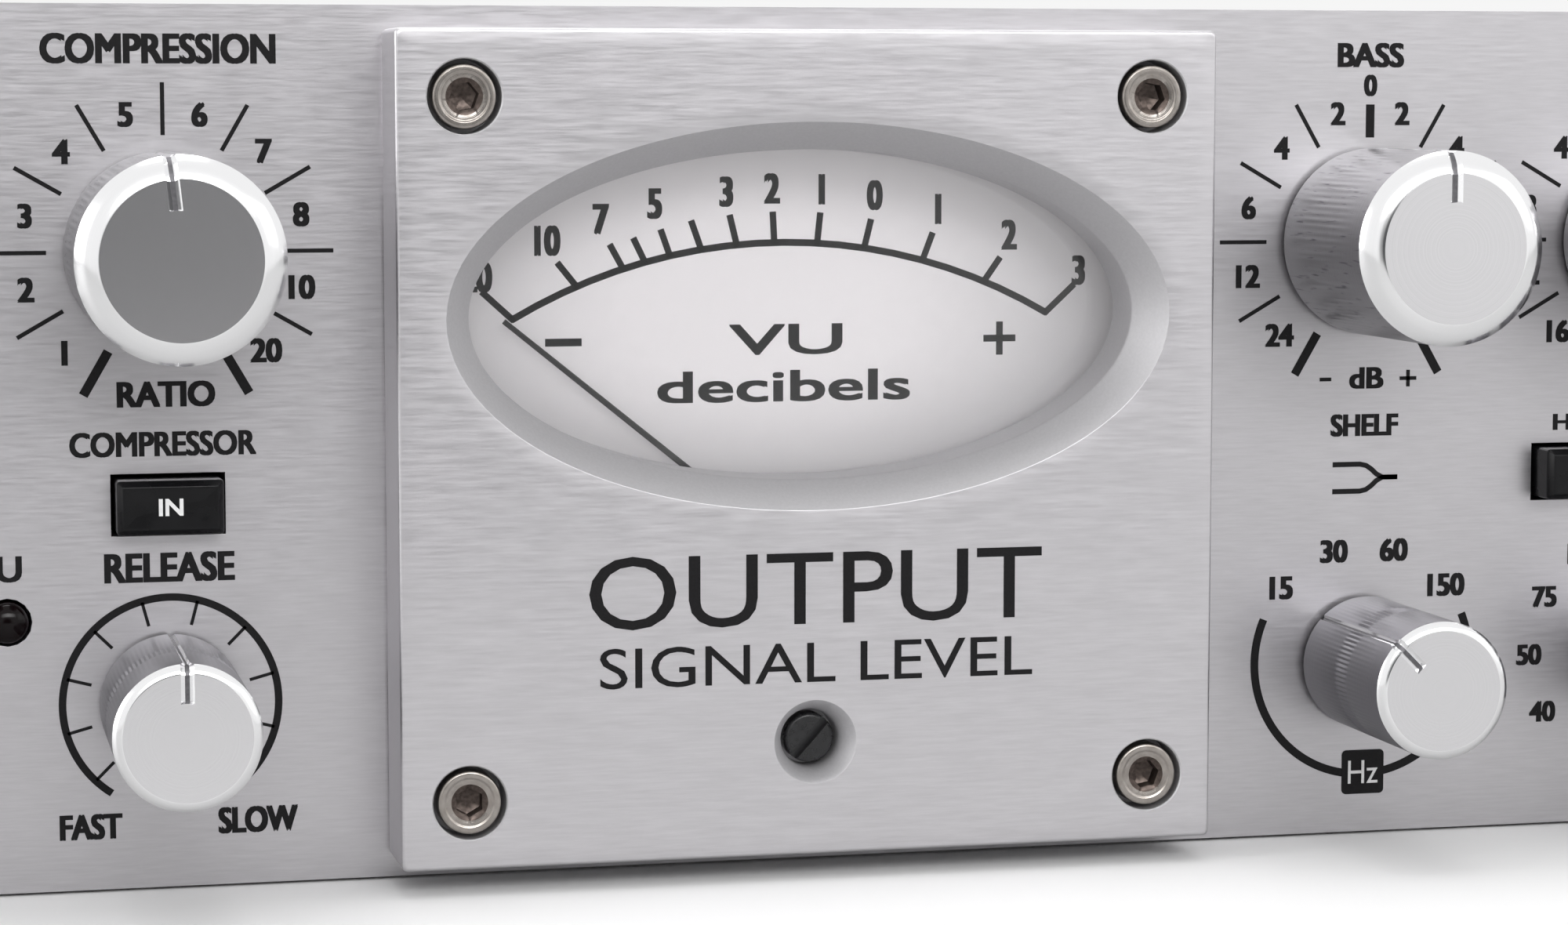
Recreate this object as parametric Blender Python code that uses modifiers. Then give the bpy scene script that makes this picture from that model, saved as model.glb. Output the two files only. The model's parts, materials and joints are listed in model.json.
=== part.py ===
"""Rack compressor: a two-unit studio channel with a compressor, an equaliser and a large meter.

Metres, +Z up, the front panel faces -Y, the unit stands on z = 0 and the origin is the centre of
the bounding box's underside. Every separate physical piece is one named object.
"""
import math

import bmesh
import bpy
from mathutils import Matrix, Vector

# Fits between pieces
SEAM = 0.0003
SLIDE_GAP = 0.0003

# Front panel: a 19 inch plate two rack units high
PANEL_WIDTH = 0.4826
PANEL_HEIGHT = 0.0881
PANEL_THICKNESS = 0.006
RACK_HOLE_SPACING_X = 0.4651
RACK_HOLE_SPACING_Z = 0.0762
RACK_SLOT_LENGTH = 0.0103
RACK_SLOT_HEIGHT = 0.0068

# Case behind the panel
EAR_WIDTH = 0.0223
CHASSIS_DEPTH = 0.300
CHASSIS_TOP_STEP = 0.0023
SHEET = 0.0015
COVER_SHEET = 0.0012
LIP_WIDTH = 0.012
REAR_SHEET = 0.002
COVER_SCREW_INSET_Y = 0.045
COVER_SCREW_RADIUS = 0.0015
COVER_SCREW_HEAD_RADIUS = 0.0029
COVER_SCREW_HEAD_HEIGHT = 0.0013
COVER_SCREW_LENGTH = 0.006
VENT_WIDTH = 0.0032
VENT_LENGTH = 0.040
VENT_PITCH = 0.010
VENTS_IN_ROW = 16

# Raised meter plate
PLATE_WIDTH = 0.0843
PLATE_MARGIN_Z = 0.0024
PLATE_PROUD = 0.0103
WINDOW_CENTRE_Z = 0.0570
WINDOW_HALF_WIDTH = 0.0345
WINDOW_HALF_HEIGHT = 0.0167
WINDOW_CHAMFER_WIDTH = 0.0028
WINDOW_CHAMFER_DEPTH = 0.0039
WINDOW_SEGMENTS = 48
PLATE_SCREW_X = 0.0353
PLATE_SCREW_INSET_Z = 0.0067
PLATE_SCREW_SEAT_DEPTH = 0.0045
PLATE_SCREW_HEAD_RADIUS = 0.0032
PLATE_SCREW_RING = 0.0005
PLATE_SCREW_HEAD_SUNK = 0.0002
PLATE_SCREW_RADIUS = 0.0020
HEX_SOCKET_RADIUS = 0.0017
HEX_SOCKET_DEPTH = 0.0022

# Zero adjuster
ADJUSTER_Z = 0.0139
ADJUSTER_DISH_RADIUS = 0.0043
ADJUSTER_HEAD_RADIUS = 0.00255
ADJUSTER_HEAD_DEPTH = 0.0026
ADJUSTER_HEAD_HEIGHT = 0.0022
ADJUSTER_SHANK_RADIUS = 0.0015
ADJUSTER_SLOT_WIDTH = 0.0008
ADJUSTER_SLOT_DEPTH = 0.0009
ADJUSTER_SLOT_TURN = math.radians(42)
ADJUSTER_REACH = 0.004

# Meter movement behind the window
METER_HALF_WIDTH = 0.0377
METER_TOP_Z = 0.0757
METER_BOTTOM_Z = 0.0253
METER_WALL = 0.0012
LENS_THICKNESS = 0.0012
DIAL_SETBACK = 0.0042
DIAL_THICKNESS = 0.0008
NEEDLE_SETBACK = 0.0029
NEEDLE_THICKNESS = 0.0004
NEEDLE_WIDTH = 0.0006
NEEDLE_LENGTH = 0.0382
NEEDLE_TAIL = 0.0050
NEEDLE_REST = math.radians(-51)
PIVOT_Z = 0.0323
HUB_RADIUS = 0.0022
HUB_LENGTH = 0.0060
COVER_CROWN_Z = 0.0397
COVER_CROWN_RADIUS = 0.030
COVER_SETBACK = 0.0019
COVER_THICKNESS = 0.0005
MOVEMENT_DEPTH = 0.026
MOVEMENT_HALF_WIDTH = 0.036
MOVEMENT_BOTTOM_Z = 0.0085
MOVEMENT_TOP_Z = 0.0790

# Knobs
LARGE_KNOB_RADIUS = 0.0099
LARGE_KNOB_HEIGHT = 0.0234
LARGE_KNOB_CHAMFER = 0.0020
SMALL_KNOB_RADIUS = 0.0071
SMALL_KNOB_HEIGHT = 0.0221
SMALL_KNOB_CHAMFER = 0.0009
KNOB_SEGMENTS = 24
KNOB_FOOT_GAP = 0.0005
POINTER_WIDTH = 0.0007
POINTER_DEPTH = 0.0005
POINTER_SHARE = 0.52
SPINDLE_RADIUS = 0.0030
SPINDLE_REACH = 0.0070
HOLE_SEGMENTS = 16

# Control rows and columns on the panel
UPPER_ROW_Z = 0.0637
LOWER_ROW_Z = 0.0186
BUTTON_ROW_Z = 0.0386
SELECTOR_X = -0.2020
PREAMP_X = -0.1700
SWITCHES_X = -0.1350
THRESHOLD_X = -0.0996
RATIO_X = -0.0638
FIRST_BAND_X = 0.0631
BAND_PITCH = 0.0319
OUTPUT_X = 0.1990
OUTPUT_Z = 0.0560
LAMP_X = -0.0797
LAMP_Z = 0.0272
JACK_Z = 0.0200

# Potentiometers, switches and their boards
POT_RADIUS = 0.0065
POT_SEGMENTS = 12
BOARD_SETBACK = 0.0090
BOARD_THICKNESS = 0.0016
BOARD_BOTTOM_Z = 0.0060
BOARD_TOP_Z = 0.0800
BOARD_METER_GAP = 0.0030
BOARD_SIDE_GAP = 0.0025
BUTTON_WIDTH = 0.0105
BUTTON_HEIGHT = 0.0054
BUTTON_GAP = 0.0004
BUTTON_PROUD = 0.0040
BUTTON_DEPTH = 0.0095
BUTTON_BEVEL = 0.0006
BUTTON_TRAVEL = 0.0025
BUTTON_STEM = 0.0030
BUTTON_STEM_LENGTH = 0.0055
SWITCH_WIDTH = 0.0100
SWITCH_HEIGHT = 0.0070
SWITCH_FRONT_GAP = 0.0006
BAND_BUTTON_OFFSET = 0.0071
LAMP_RADIUS = 0.0021
LAMP_DOME = 0.0013
LAMP_FLANGE = 0.0008
JACK_NUT_RADIUS = 0.0062
JACK_NUT_HEIGHT = 0.0026
JACK_BARREL_RADIUS = 0.0046
JACK_BORE_RADIUS = 0.00325
JACK_BORE_DEPTH = 0.026
JACK_BODY_RADIUS = 0.0075
JACK_BODY_LENGTH = 0.022

# Inside the case
MAIN_BOARD_WIDTH = 0.280
MAIN_BOARD_DEPTH = 0.190
MAIN_BOARD_CENTRE_X = -0.060
MAIN_BOARD_SETBACK = 0.045
STANDOFF_HEIGHT = 0.008
STANDOFF_RADIUS = 0.003
STANDOFF_INSET = 0.008
TUBE_RADIUS = 0.0105
TUBE_HEIGHT = 0.050
TUBE_DOME = 0.008
TUBE_TIP_RADIUS = 0.002
TUBE_PITCH = 0.045
TUBE_SEGMENTS = 16
TUBE_ROW_Y = 0.050
SOCKET_HEIGHT = 0.007
CAPACITOR_RADIUS = 0.011
CAPACITOR_HEIGHT = 0.040
CAPACITOR_PITCH = 0.030
CAPACITOR_ROW_Y = 0.150
HEAT_SINK_SIZE = (0.012, 0.060, 0.035)
HEAT_SINK_X = 0.120
TOROID_RADIUS = 0.050
TOROID_HOLE_RADIUS = 0.016
TOROID_HEIGHT = 0.046
TOROID_X = 0.150
TOROID_SETBACK = 0.180
TOROID_SEGMENTS = 24
TOROID_ROUND = 0.010
CLAMP_RADIUS = 0.028
CLAMP_THICKNESS = 0.002
CLAMP_BOLT_RADIUS = 0.004
CLAMP_BOLT_HEAD_RADIUS = 0.0065
CLAMP_BOLT_HEAD_HEIGHT = 0.004

# Rear connectors
XLR_FIRST_X = -0.165
XLR_PITCH = 0.040
XLR_Z = 0.043
XLR_BARREL_RADIUS = 0.0118
XLR_FLANGE_WIDTH = 0.026
XLR_FLANGE_HEIGHT = 0.031
XLR_FLANGE_THICKNESS = 0.002
XLR_DEPTH = 0.024
XLR_GROOVE_INNER = 0.0074
XLR_GROOVE_OUTER = 0.0096
XLR_GROOVE_DEPTH = 0.012
XLR_CUP_DEPTH = 0.015
XLR_PIN_RADIUS = 0.0012
XLR_PIN_CIRCLE = 0.0040
XLR_SEGMENTS = 20
INLET_X = 0.165
INLET_Z = 0.044
INLET_FLANGE = (0.052, 0.030, 0.002)
INLET_BODY = (0.048, 0.026, 0.024)
INLET_RECESS = (0.0244, 0.0164, 0.016)
INLET_RECESS_X = 0.0100
BLADE_SIZE = (0.002, 0.012, 0.004)
BLADE_X = 0.007
BLADE_Z = -0.001
EARTH_BLADE_Z = 0.002
ROCKER_X = -0.0145
ROCKER_WIDTH = 0.0114
ROCKER_HEIGHT = 0.0190
ROCKER_VALLEY = 0.0012
ROCKER_HORN = 0.0024
ROCKER_KEEL = 0.0050
ROCKER_KEEL_HALF = 0.0080
ROCKER_TILT = math.radians(8)
ROCKER_WELL_DEPTH = 0.012
ROCKER_SIDE_GAP = 0.0006
FUSE_X = 0.108
FUSE_CAP_RADIUS = 0.007
FUSE_CAP_HEIGHT = 0.006
FUSE_BODY_RADIUS = 0.0055
FUSE_BODY_LENGTH = 0.020

# Planes and places that follow from the sizes above
REAR_PROUD = SEAM + FUSE_CAP_HEIGHT
TOTAL_DEPTH = LARGE_KNOB_HEIGHT + PANEL_THICKNESS + SEAM + CHASSIS_DEPTH + REAR_PROUD
FRONT_Y = LARGE_KNOB_HEIGHT - TOTAL_DEPTH / 2
BACK_Y = FRONT_Y + PANEL_THICKNESS
CASE_Y = BACK_Y + SEAM
REAR_Y = CASE_Y + CHASSIS_DEPTH
CASE_HALF_WIDTH = PANEL_WIDTH / 2 - EAR_WIDTH
CASE_TOP_Z = PANEL_HEIGHT - CHASSIS_TOP_STEP
TRAY_TOP_Z = CASE_TOP_Z - COVER_SHEET - SEAM
BOARD_Y = BACK_Y + BOARD_SETBACK
PLATE_FRONT_Y = FRONT_Y - PLATE_PROUD
PLATE_BACK_Y = FRONT_Y - SEAM
MAIN_BOARD_Z = SHEET + SEAM + STANDOFF_HEIGHT
MAIN_BOARD_TOP_Z = MAIN_BOARD_Z + BOARD_THICKNESS

# name, x, z, pointer turned clockwise from straight up
LARGE_KNOBS = (
    ("input_select_knob", SELECTOR_X, UPPER_ROW_Z, -60),
    ("preamp_gain_knob", PREAMP_X, UPPER_ROW_Z, -30),
    ("threshold_knob", THRESHOLD_X, UPPER_ROW_Z, 0),
    ("ratio_knob", RATIO_X, UPPER_ROW_Z, 0),
    ("bass_knob", FIRST_BAND_X, UPPER_ROW_Z, 0),
    ("low_mid_knob", FIRST_BAND_X + BAND_PITCH, UPPER_ROW_Z, 0),
    ("high_mid_knob", FIRST_BAND_X + 2 * BAND_PITCH, UPPER_ROW_Z, 0),
    ("treble_knob", FIRST_BAND_X + 3 * BAND_PITCH, UPPER_ROW_Z, 0),
    ("output_level_knob", OUTPUT_X, OUTPUT_Z, 0),
)
SMALL_KNOBS = (
    ("low_cut_knob", PREAMP_X, LOWER_ROW_Z, -90),
    ("attack_knob", THRESHOLD_X, LOWER_ROW_Z, 0),
    ("release_knob", RATIO_X, LOWER_ROW_Z, 0),
    ("bass_frequency_knob", FIRST_BAND_X, LOWER_ROW_Z, -45),
    ("low_mid_frequency_knob", FIRST_BAND_X + BAND_PITCH, LOWER_ROW_Z, 0),
    ("high_mid_frequency_knob", FIRST_BAND_X + 2 * BAND_PITCH, LOWER_ROW_Z, 0),
    ("treble_frequency_knob", FIRST_BAND_X + 3 * BAND_PITCH, LOWER_ROW_Z, -45),
)
BUTTONS = (
    ("phantom_power_button", SWITCHES_X, UPPER_ROW_Z),
    ("phase_button", SWITCHES_X, BUTTON_ROW_Z),
    ("low_cut_button", SWITCHES_X, LOWER_ROW_Z),
    ("compressor_in_button", RATIO_X, BUTTON_ROW_Z),
    ("low_mid_narrow_button", FIRST_BAND_X + BAND_PITCH - BAND_BUTTON_OFFSET, BUTTON_ROW_Z),
    ("low_mid_times_ten_button", FIRST_BAND_X + BAND_PITCH + BAND_BUTTON_OFFSET, BUTTON_ROW_Z),
    ("high_mid_narrow_button", FIRST_BAND_X + 2 * BAND_PITCH - BAND_BUTTON_OFFSET, BUTTON_ROW_Z),
    ("high_mid_times_ten_button", FIRST_BAND_X + 2 * BAND_PITCH + BAND_BUTTON_OFFSET, BUTTON_ROW_Z),
    ("equaliser_in_button", OUTPUT_X, LOWER_ROW_Z),
)

# name: colour, metallic, roughness
MATERIALS = {
    "brushed_panel_aluminium": ((0.60, 0.60, 0.61), 1.0, 0.38),
    "brushed_plate_aluminium": ((0.66, 0.66, 0.67), 1.0, 0.34),
    "turned_aluminium": ((0.82, 0.82, 0.83), 1.0, 0.20),
    "screw_steel": ((0.50, 0.49, 0.47), 1.0, 0.30),
    "black_button_plastic": ((0.015, 0.015, 0.017), 0.0, 0.30),
    "black_case_plastic": ((0.03, 0.03, 0.03), 0.0, 0.50),
    "clear_lens": ((0.90, 0.92, 0.92), 0.0, 0.05),
    "dial_card": ((0.86, 0.84, 0.80), 0.0, 0.60),
    "black_needle": ((0.01, 0.01, 0.01), 0.0, 0.40),
    "dark_lamp_lens": ((0.03, 0.01, 0.01), 0.0, 0.08),
    "grey_sheet_steel": ((0.10, 0.10, 0.11), 0.3, 0.45),
    "green_board": ((0.02, 0.12, 0.06), 0.0, 0.45),
    "tube_glass": ((0.80, 0.82, 0.82), 0.0, 0.05),
    "transformer_tape": ((0.75, 0.55, 0.10), 0.0, 0.50),
    "black_connector": ((0.02, 0.02, 0.02), 0.2, 0.40),
    "nickel": ((0.62, 0.60, 0.56), 1.0, 0.22),
}


def clear_scene():
    for item in list(bpy.data.objects):
        bpy.data.objects.remove(item, do_unlink=True)


def new_collection(name):
    collection = bpy.data.collections.new(name)
    bpy.context.scene.collection.children.link(collection)
    return collection


def material(name):
    made = bpy.data.materials.get(name)
    if made:
        return made
    colour, metallic, roughness = MATERIALS[name]
    made = bpy.data.materials.new(name)
    made.use_nodes = True
    shader = made.node_tree.nodes["Principled BSDF"]
    shader.inputs["Base Color"].default_value = (*colour, 1.0)
    shader.inputs["Metallic"].default_value = metallic
    shader.inputs["Roughness"].default_value = roughness
    made.diffuse_color = (*colour, 1.0)
    return made


def box(low, high):
    """A box between two corners, as a shape that a mesh can take in."""
    def add(mesh):
        centre = (Vector(low) + Vector(high)) / 2
        size = Vector(high) - Vector(low)
        place = Matrix.Translation(centre) @ Matrix.Diagonal((*size, 1.0))
        bmesh.ops.create_cube(mesh, size=1.0, matrix=place)
    return add


def centred_box(x, z, width, height, front, back):
    return box((x - width / 2, front, z - height / 2), (x + width / 2, back, z + height / 2))


def rod(start, end, radius, segments=HOLE_SEGMENTS, end_radius=None):
    """A cylinder or cone from one point to another."""
    def add(mesh):
        along = Vector(end) - Vector(start)
        aim = along.to_track_quat("Z", "Y").to_matrix().to_4x4()
        middle = Matrix.Translation((Vector(start) + Vector(end)) / 2)
        last = radius if end_radius is None else end_radius
        bmesh.ops.create_cone(mesh, cap_ends=True, segments=segments, radius1=radius,
                              radius2=last, depth=along.length, matrix=middle @ aim)
    return add


def oval(centre_z, front_y, front_size, back_y, back_size):
    """An elliptical prism along Y between two ellipses, each given as (half width, half height)."""
    def add(mesh):
        middle_y = (front_y + back_y) / 2
        lying = Matrix.Rotation(math.radians(-90), 4, "X")
        made = bmesh.ops.create_cone(mesh, cap_ends=True, segments=WINDOW_SEGMENTS, radius1=1.0,
                                     radius2=1.0, depth=back_y - front_y,
                                     matrix=Matrix.Translation((0, middle_y, 0)) @ lying)
        for vertex in made["verts"]:
            half_width, half_height = back_size if vertex.co.y > middle_y else front_size
            vertex.co.x *= half_width
            vertex.co.z = centre_z + vertex.co.z * half_height
    return add


def prism(outline, half_width):
    """A prism along X from an outline of (y, z) points, centred on X = 0."""
    def add(mesh):
        bottom = [mesh.verts.new((-half_width, y, z)) for y, z in outline]
        face = mesh.faces.new(bottom)
        swept = bmesh.ops.extrude_face_region(mesh, geom=[face])
        moved = [item for item in swept["geom"] if isinstance(item, bmesh.types.BMVert)]
        bmesh.ops.translate(mesh, vec=(2 * half_width, 0, 0), verts=moved)
        bmesh.ops.recalc_face_normals(mesh, faces=mesh.faces)
    return add


def mesh_from(name, shapes):
    work = bmesh.new()
    for shape in shapes:
        shape(work)
    mesh = bpy.data.meshes.new(name)
    work.to_mesh(mesh)
    work.free()
    return mesh


def link(name, mesh, finish):
    made = bpy.data.objects.new(name, mesh)
    parts.objects.link(made)
    mesh.materials.append(material(finish))
    return made


def combine(target, shapes, operation):
    """Joins shapes to an object or cuts them from it, with one exact Boolean.

    The shapes of one call stand clear of each other. The tool that holds them is returned.
    """
    tool_name = f"{target.name}_{operation.lower()}"
    tool = bpy.data.objects.new(tool_name, mesh_from(tool_name, shapes))
    cutters.objects.link(tool)
    tool.hide_render = True
    tool.display_type = "WIRE"
    step = target.modifiers.new(operation.title(), "BOOLEAN")
    step.operation = operation
    step.solver = "EXACT"
    step.object = tool
    return tool


def solid(name, finish, base, join=(), cut=()):
    """One closed piece: a first shape, what is joined to it, then what is cut from it."""
    made = link(name, mesh_from(name, [base]), finish)
    if join:
        combine(made, join, "UNION")
    if cut:
        combine(made, cut, "DIFFERENCE")
    return made


def turned(name, finish, profile, place, segments):
    """A turned piece: a profile of (radius, height) points, top first, spun about local Z."""
    mesh = bpy.data.meshes.new(name)
    points = [(radius, 0.0, height) for radius, height in profile]
    edges = [(index, index + 1) for index in range(len(points) - 1)]
    mesh.from_pydata(points, edges, [])
    made = link(name, mesh, finish)
    made.matrix_world = place
    spin = made.modifiers.new("Spin", "SCREW")
    spin.axis = "Z"
    spin.angle = math.tau
    spin.steps = segments
    spin.render_steps = segments
    spin.use_merge_vertices = True
    spin.merge_threshold = 0.00001
    return made


def facing_front(x, y, z, clockwise=0.0):
    """Stands a turned piece on the panel: its local Z points at -Y, its local Y points up."""
    upright = Matrix.Rotation(math.radians(90), 4, "X")
    twist = Matrix.Rotation(-clockwise, 4, "Z")
    return Matrix.Translation((x, y, z)) @ upright @ twist


def facing_rear(x, y, z):
    return Matrix.Translation((x, y, z)) @ Matrix.Rotation(math.radians(-90), 4, "X")


def standing(x, y, z):
    return Matrix.Translation((x, y, z))


def front_columns():
    """Every turning control on the panel as (x, z)."""
    return [(x, z) for _, x, z, _ in LARGE_KNOBS + SMALL_KNOBS]


def plate_screw_places():
    low = PLATE_MARGIN_Z + PLATE_SCREW_INSET_Z
    high = PANEL_HEIGHT - low
    return [(-PLATE_SCREW_X, high), (PLATE_SCREW_X, high), (-PLATE_SCREW_X, low), (PLATE_SCREW_X, low)]


def rack_slot_places():
    x = RACK_HOLE_SPACING_X / 2
    low = (PANEL_HEIGHT - RACK_HOLE_SPACING_Z) / 2
    return [(-x, low), (x, low), (-x, PANEL_HEIGHT - low), (x, PANEL_HEIGHT - low)]


def cut_rack_slots(panel):
    """Cuts the round-ended slots: their straight middles, then their left and right ends."""
    half = RACK_SLOT_HEIGHT / 2
    reach = (RACK_SLOT_LENGTH - RACK_SLOT_HEIGHT) / 2
    front = FRONT_Y - SHEET
    back = BACK_Y + SHEET
    middles = [box((x - reach, front, z - half), (x + reach, back, z + half))
               for x, z in rack_slot_places()]
    combine(panel, middles, "DIFFERENCE")
    for side in (-reach, reach):
        ends = [rod((x + side, front, z), (x + side, back, z), half) for x, z in rack_slot_places()]
        combine(panel, ends, "DIFFERENCE")


def make_front_panel():
    through = (FRONT_Y - SHEET, BACK_Y + SHEET)
    cuts = []
    for x, z in front_columns():
        cuts.append(rod((x, through[0], z), (x, through[1], z), SPINDLE_RADIUS + 2 * SLIDE_GAP))
    half_width = BUTTON_WIDTH / 2 + BUTTON_GAP
    half_height = BUTTON_HEIGHT / 2 + BUTTON_GAP
    for _, x, z in BUTTONS:
        cuts.append(box((x - half_width, through[0], z - half_height),
                        (x + half_width, through[1], z + half_height)))
    cuts.append(box((-METER_HALF_WIDTH - SEAM, through[0], METER_BOTTOM_Z - SEAM),
                    (METER_HALF_WIDTH + SEAM, through[1], METER_TOP_Z + SEAM)))
    for x, z in plate_screw_places():
        cuts.append(rod((x, through[0], z), (x, through[1], z), PLATE_SCREW_RADIUS + SLIDE_GAP, 12))
    cuts.append(rod((0, through[0], ADJUSTER_Z), (0, through[1], ADJUSTER_Z),
                    ADJUSTER_SHANK_RADIUS + 2 * SLIDE_GAP, 12))
    cuts.append(rod((LAMP_X, through[0], LAMP_Z), (LAMP_X, through[1], LAMP_Z), LAMP_RADIUS + SEAM))
    cuts.append(rod((SELECTOR_X, through[0], JACK_Z), (SELECTOR_X, through[1], JACK_Z),
                    JACK_BARREL_RADIUS + SEAM))
    panel = solid("front_panel", "brushed_panel_aluminium",
                  box((-PANEL_WIDTH / 2, FRONT_Y, 0), (PANEL_WIDTH / 2, BACK_Y, PANEL_HEIGHT)), cut=cuts)
    cut_rack_slots(panel)


def make_meter_plate():
    low = PLATE_MARGIN_Z
    high = PANEL_HEIGHT - PLATE_MARGIN_Z
    plate = solid("meter_plate", "brushed_plate_aluminium",
                  box((-PLATE_WIDTH / 2, PLATE_FRONT_Y, low), (PLATE_WIDTH / 2, PLATE_BACK_Y, high)))
    inner = (WINDOW_HALF_WIDTH, WINDOW_HALF_HEIGHT)
    cuts = [oval(WINDOW_CENTRE_Z, PLATE_FRONT_Y - SHEET, inner, PLATE_BACK_Y + SHEET, inner)]
    seat_radius = PLATE_SCREW_HEAD_RADIUS + PLATE_SCREW_RING
    seat_y = PLATE_FRONT_Y + PLATE_SCREW_SEAT_DEPTH
    for x, z in plate_screw_places():
        cuts.append(rod((x, PLATE_FRONT_Y - SHEET, z), (x, seat_y, z), seat_radius, 20))
    dish_back = PLATE_FRONT_Y + ADJUSTER_HEAD_DEPTH + ADJUSTER_HEAD_HEIGHT + SEAM
    bore_radius = ADJUSTER_HEAD_RADIUS + SLIDE_GAP
    cuts.append(rod((0, PLATE_FRONT_Y, ADJUSTER_Z), (0, dish_back, ADJUSTER_Z), ADJUSTER_DISH_RADIUS,
                    20, bore_radius))
    combine(plate, cuts, "DIFFERENCE")
    through = [rod((x, seat_y - SHEET, z), (x, PLATE_BACK_Y + SHEET, z),
                   PLATE_SCREW_RADIUS + SLIDE_GAP, 12) for x, z in plate_screw_places()]
    through.append(rod((0, dish_back - SHEET, ADJUSTER_Z), (0, PLATE_BACK_Y + SHEET, ADJUSTER_Z),
                       ADJUSTER_SHANK_RADIUS + 2 * SLIDE_GAP, 12))
    combine(plate, through, "DIFFERENCE")
    flare = WINDOW_CHAMFER_WIDTH / WINDOW_CHAMFER_DEPTH
    spread = WINDOW_CHAMFER_WIDTH + flare * SHEET
    mouth = oval(WINDOW_CENTRE_Z,
                 PLATE_FRONT_Y - SHEET, (inner[0] + spread, inner[1] + spread),
                 PLATE_FRONT_Y + WINDOW_CHAMFER_DEPTH + SHEET,
                 (inner[0] - flare * SHEET, inner[1] - flare * SHEET))
    combine(plate, [mouth], "DIFFERENCE")


def make_plate_screws():
    length = PLATE_PROUD + PANEL_THICKNESS - PLATE_SCREW_HEAD_SUNK - 2 * SEAM
    head_height = PLATE_SCREW_SEAT_DEPTH - PLATE_SCREW_HEAD_SUNK - SEAM
    for number, (x, z) in enumerate(plate_screw_places(), start=1):
        front = PLATE_FRONT_Y + PLATE_SCREW_HEAD_SUNK
        profile = [(0, 0), (PLATE_SCREW_HEAD_RADIUS, 0), (PLATE_SCREW_HEAD_RADIUS, -head_height),
                   (PLATE_SCREW_RADIUS, -head_height), (PLATE_SCREW_RADIUS, -length), (0, -length)]
        screw = turned(f"plate_screw_{number}", "screw_steel", profile, facing_front(x, front, z), 16)
        socket = rod((x, front - SHEET, z), (x, front + HEX_SOCKET_DEPTH, z), HEX_SOCKET_RADIUS, 6)
        combine(screw, [socket], "DIFFERENCE")


def make_zero_adjuster():
    front = PLATE_FRONT_Y + ADJUSTER_HEAD_DEPTH
    reach = (CASE_Y + ADJUSTER_REACH) - front
    profile = [(0, 0), (ADJUSTER_HEAD_RADIUS, 0), (ADJUSTER_HEAD_RADIUS, -ADJUSTER_HEAD_HEIGHT),
               (ADJUSTER_SHANK_RADIUS, -ADJUSTER_HEAD_HEIGHT), (ADJUSTER_SHANK_RADIUS, -reach),
               (0, -reach)]
    screw = turned("zero_adjust_screw", "black_case_plastic", profile,
                   facing_front(0, front, ADJUSTER_Z), 16)
    half = ADJUSTER_SLOT_WIDTH / 2
    blade = box((-half, -ADJUSTER_SLOT_DEPTH, -ADJUSTER_DISH_RADIUS),
                (half, ADJUSTER_SLOT_DEPTH, ADJUSTER_DISH_RADIUS))
    tool = combine(screw, [blade], "DIFFERENCE")
    tool.matrix_world = (Matrix.Translation((0, front, ADJUSTER_Z))
                         @ Matrix.Rotation(ADJUSTER_SLOT_TURN, 4, "Y"))


def make_meter_case():
    front = FRONT_Y + SEAM + LENS_THICKNESS + SEAM
    nose = box((-METER_HALF_WIDTH, front, METER_BOTTOM_Z), (METER_HALF_WIDTH, CASE_Y + SHEET, METER_TOP_Z))
    body_back = CASE_Y + MOVEMENT_DEPTH
    body = box((-MOVEMENT_HALF_WIDTH, CASE_Y, MOVEMENT_BOTTOM_Z),
               (MOVEMENT_HALF_WIDTH, body_back, MOVEMENT_TOP_Z))
    dial_back = FRONT_Y + DIAL_SETBACK + DIAL_THICKNESS + SEAM
    inner_width = METER_HALF_WIDTH - METER_WALL
    hollow = box((-inner_width, front - SHEET, METER_BOTTOM_Z + METER_WALL),
                 (inner_width, dial_back, METER_TOP_Z - METER_WALL))
    hub_back = FRONT_Y + NEEDLE_SETBACK + HUB_LENGTH + SLIDE_GAP
    hub_bore = rod((0, dial_back - SHEET / 2, PIVOT_Z), (0, hub_back, PIVOT_Z), HUB_RADIUS + SLIDE_GAP)
    adjuster_bore = rod((0, CASE_Y - SHEET, ADJUSTER_Z), (0, CASE_Y + ADJUSTER_REACH + SEAM, ADJUSTER_Z),
                        ADJUSTER_SHANK_RADIUS + SLIDE_GAP, 12)
    case = solid("meter_case", "black_case_plastic", nose, join=[body], cut=[hollow])
    combine(case, [hub_bore, adjuster_bore], "DIFFERENCE")
    cover_front = FRONT_Y + COVER_SETBACK
    crown_centre = COVER_CROWN_Z - COVER_CROWN_RADIUS
    crown = rod((0, cover_front, crown_centre), (0, cover_front + COVER_THICKNESS, crown_centre),
                COVER_CROWN_RADIUS, 64)
    pivot_cover = combine(case, [crown], "UNION")
    trim = box((-PANEL_HEIGHT, cover_front - SHEET, -PANEL_HEIGHT),
               (PANEL_HEIGHT, cover_front + SHEET, METER_BOTTOM_Z + METER_WALL / 2))
    combine(pivot_cover, [trim], "DIFFERENCE")


def make_meter_lens():
    front = FRONT_Y + SEAM
    solid("meter_lens", "clear_lens",
          box((-METER_HALF_WIDTH, front, METER_BOTTOM_Z),
              (METER_HALF_WIDTH, front + LENS_THICKNESS, METER_TOP_Z)))


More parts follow.
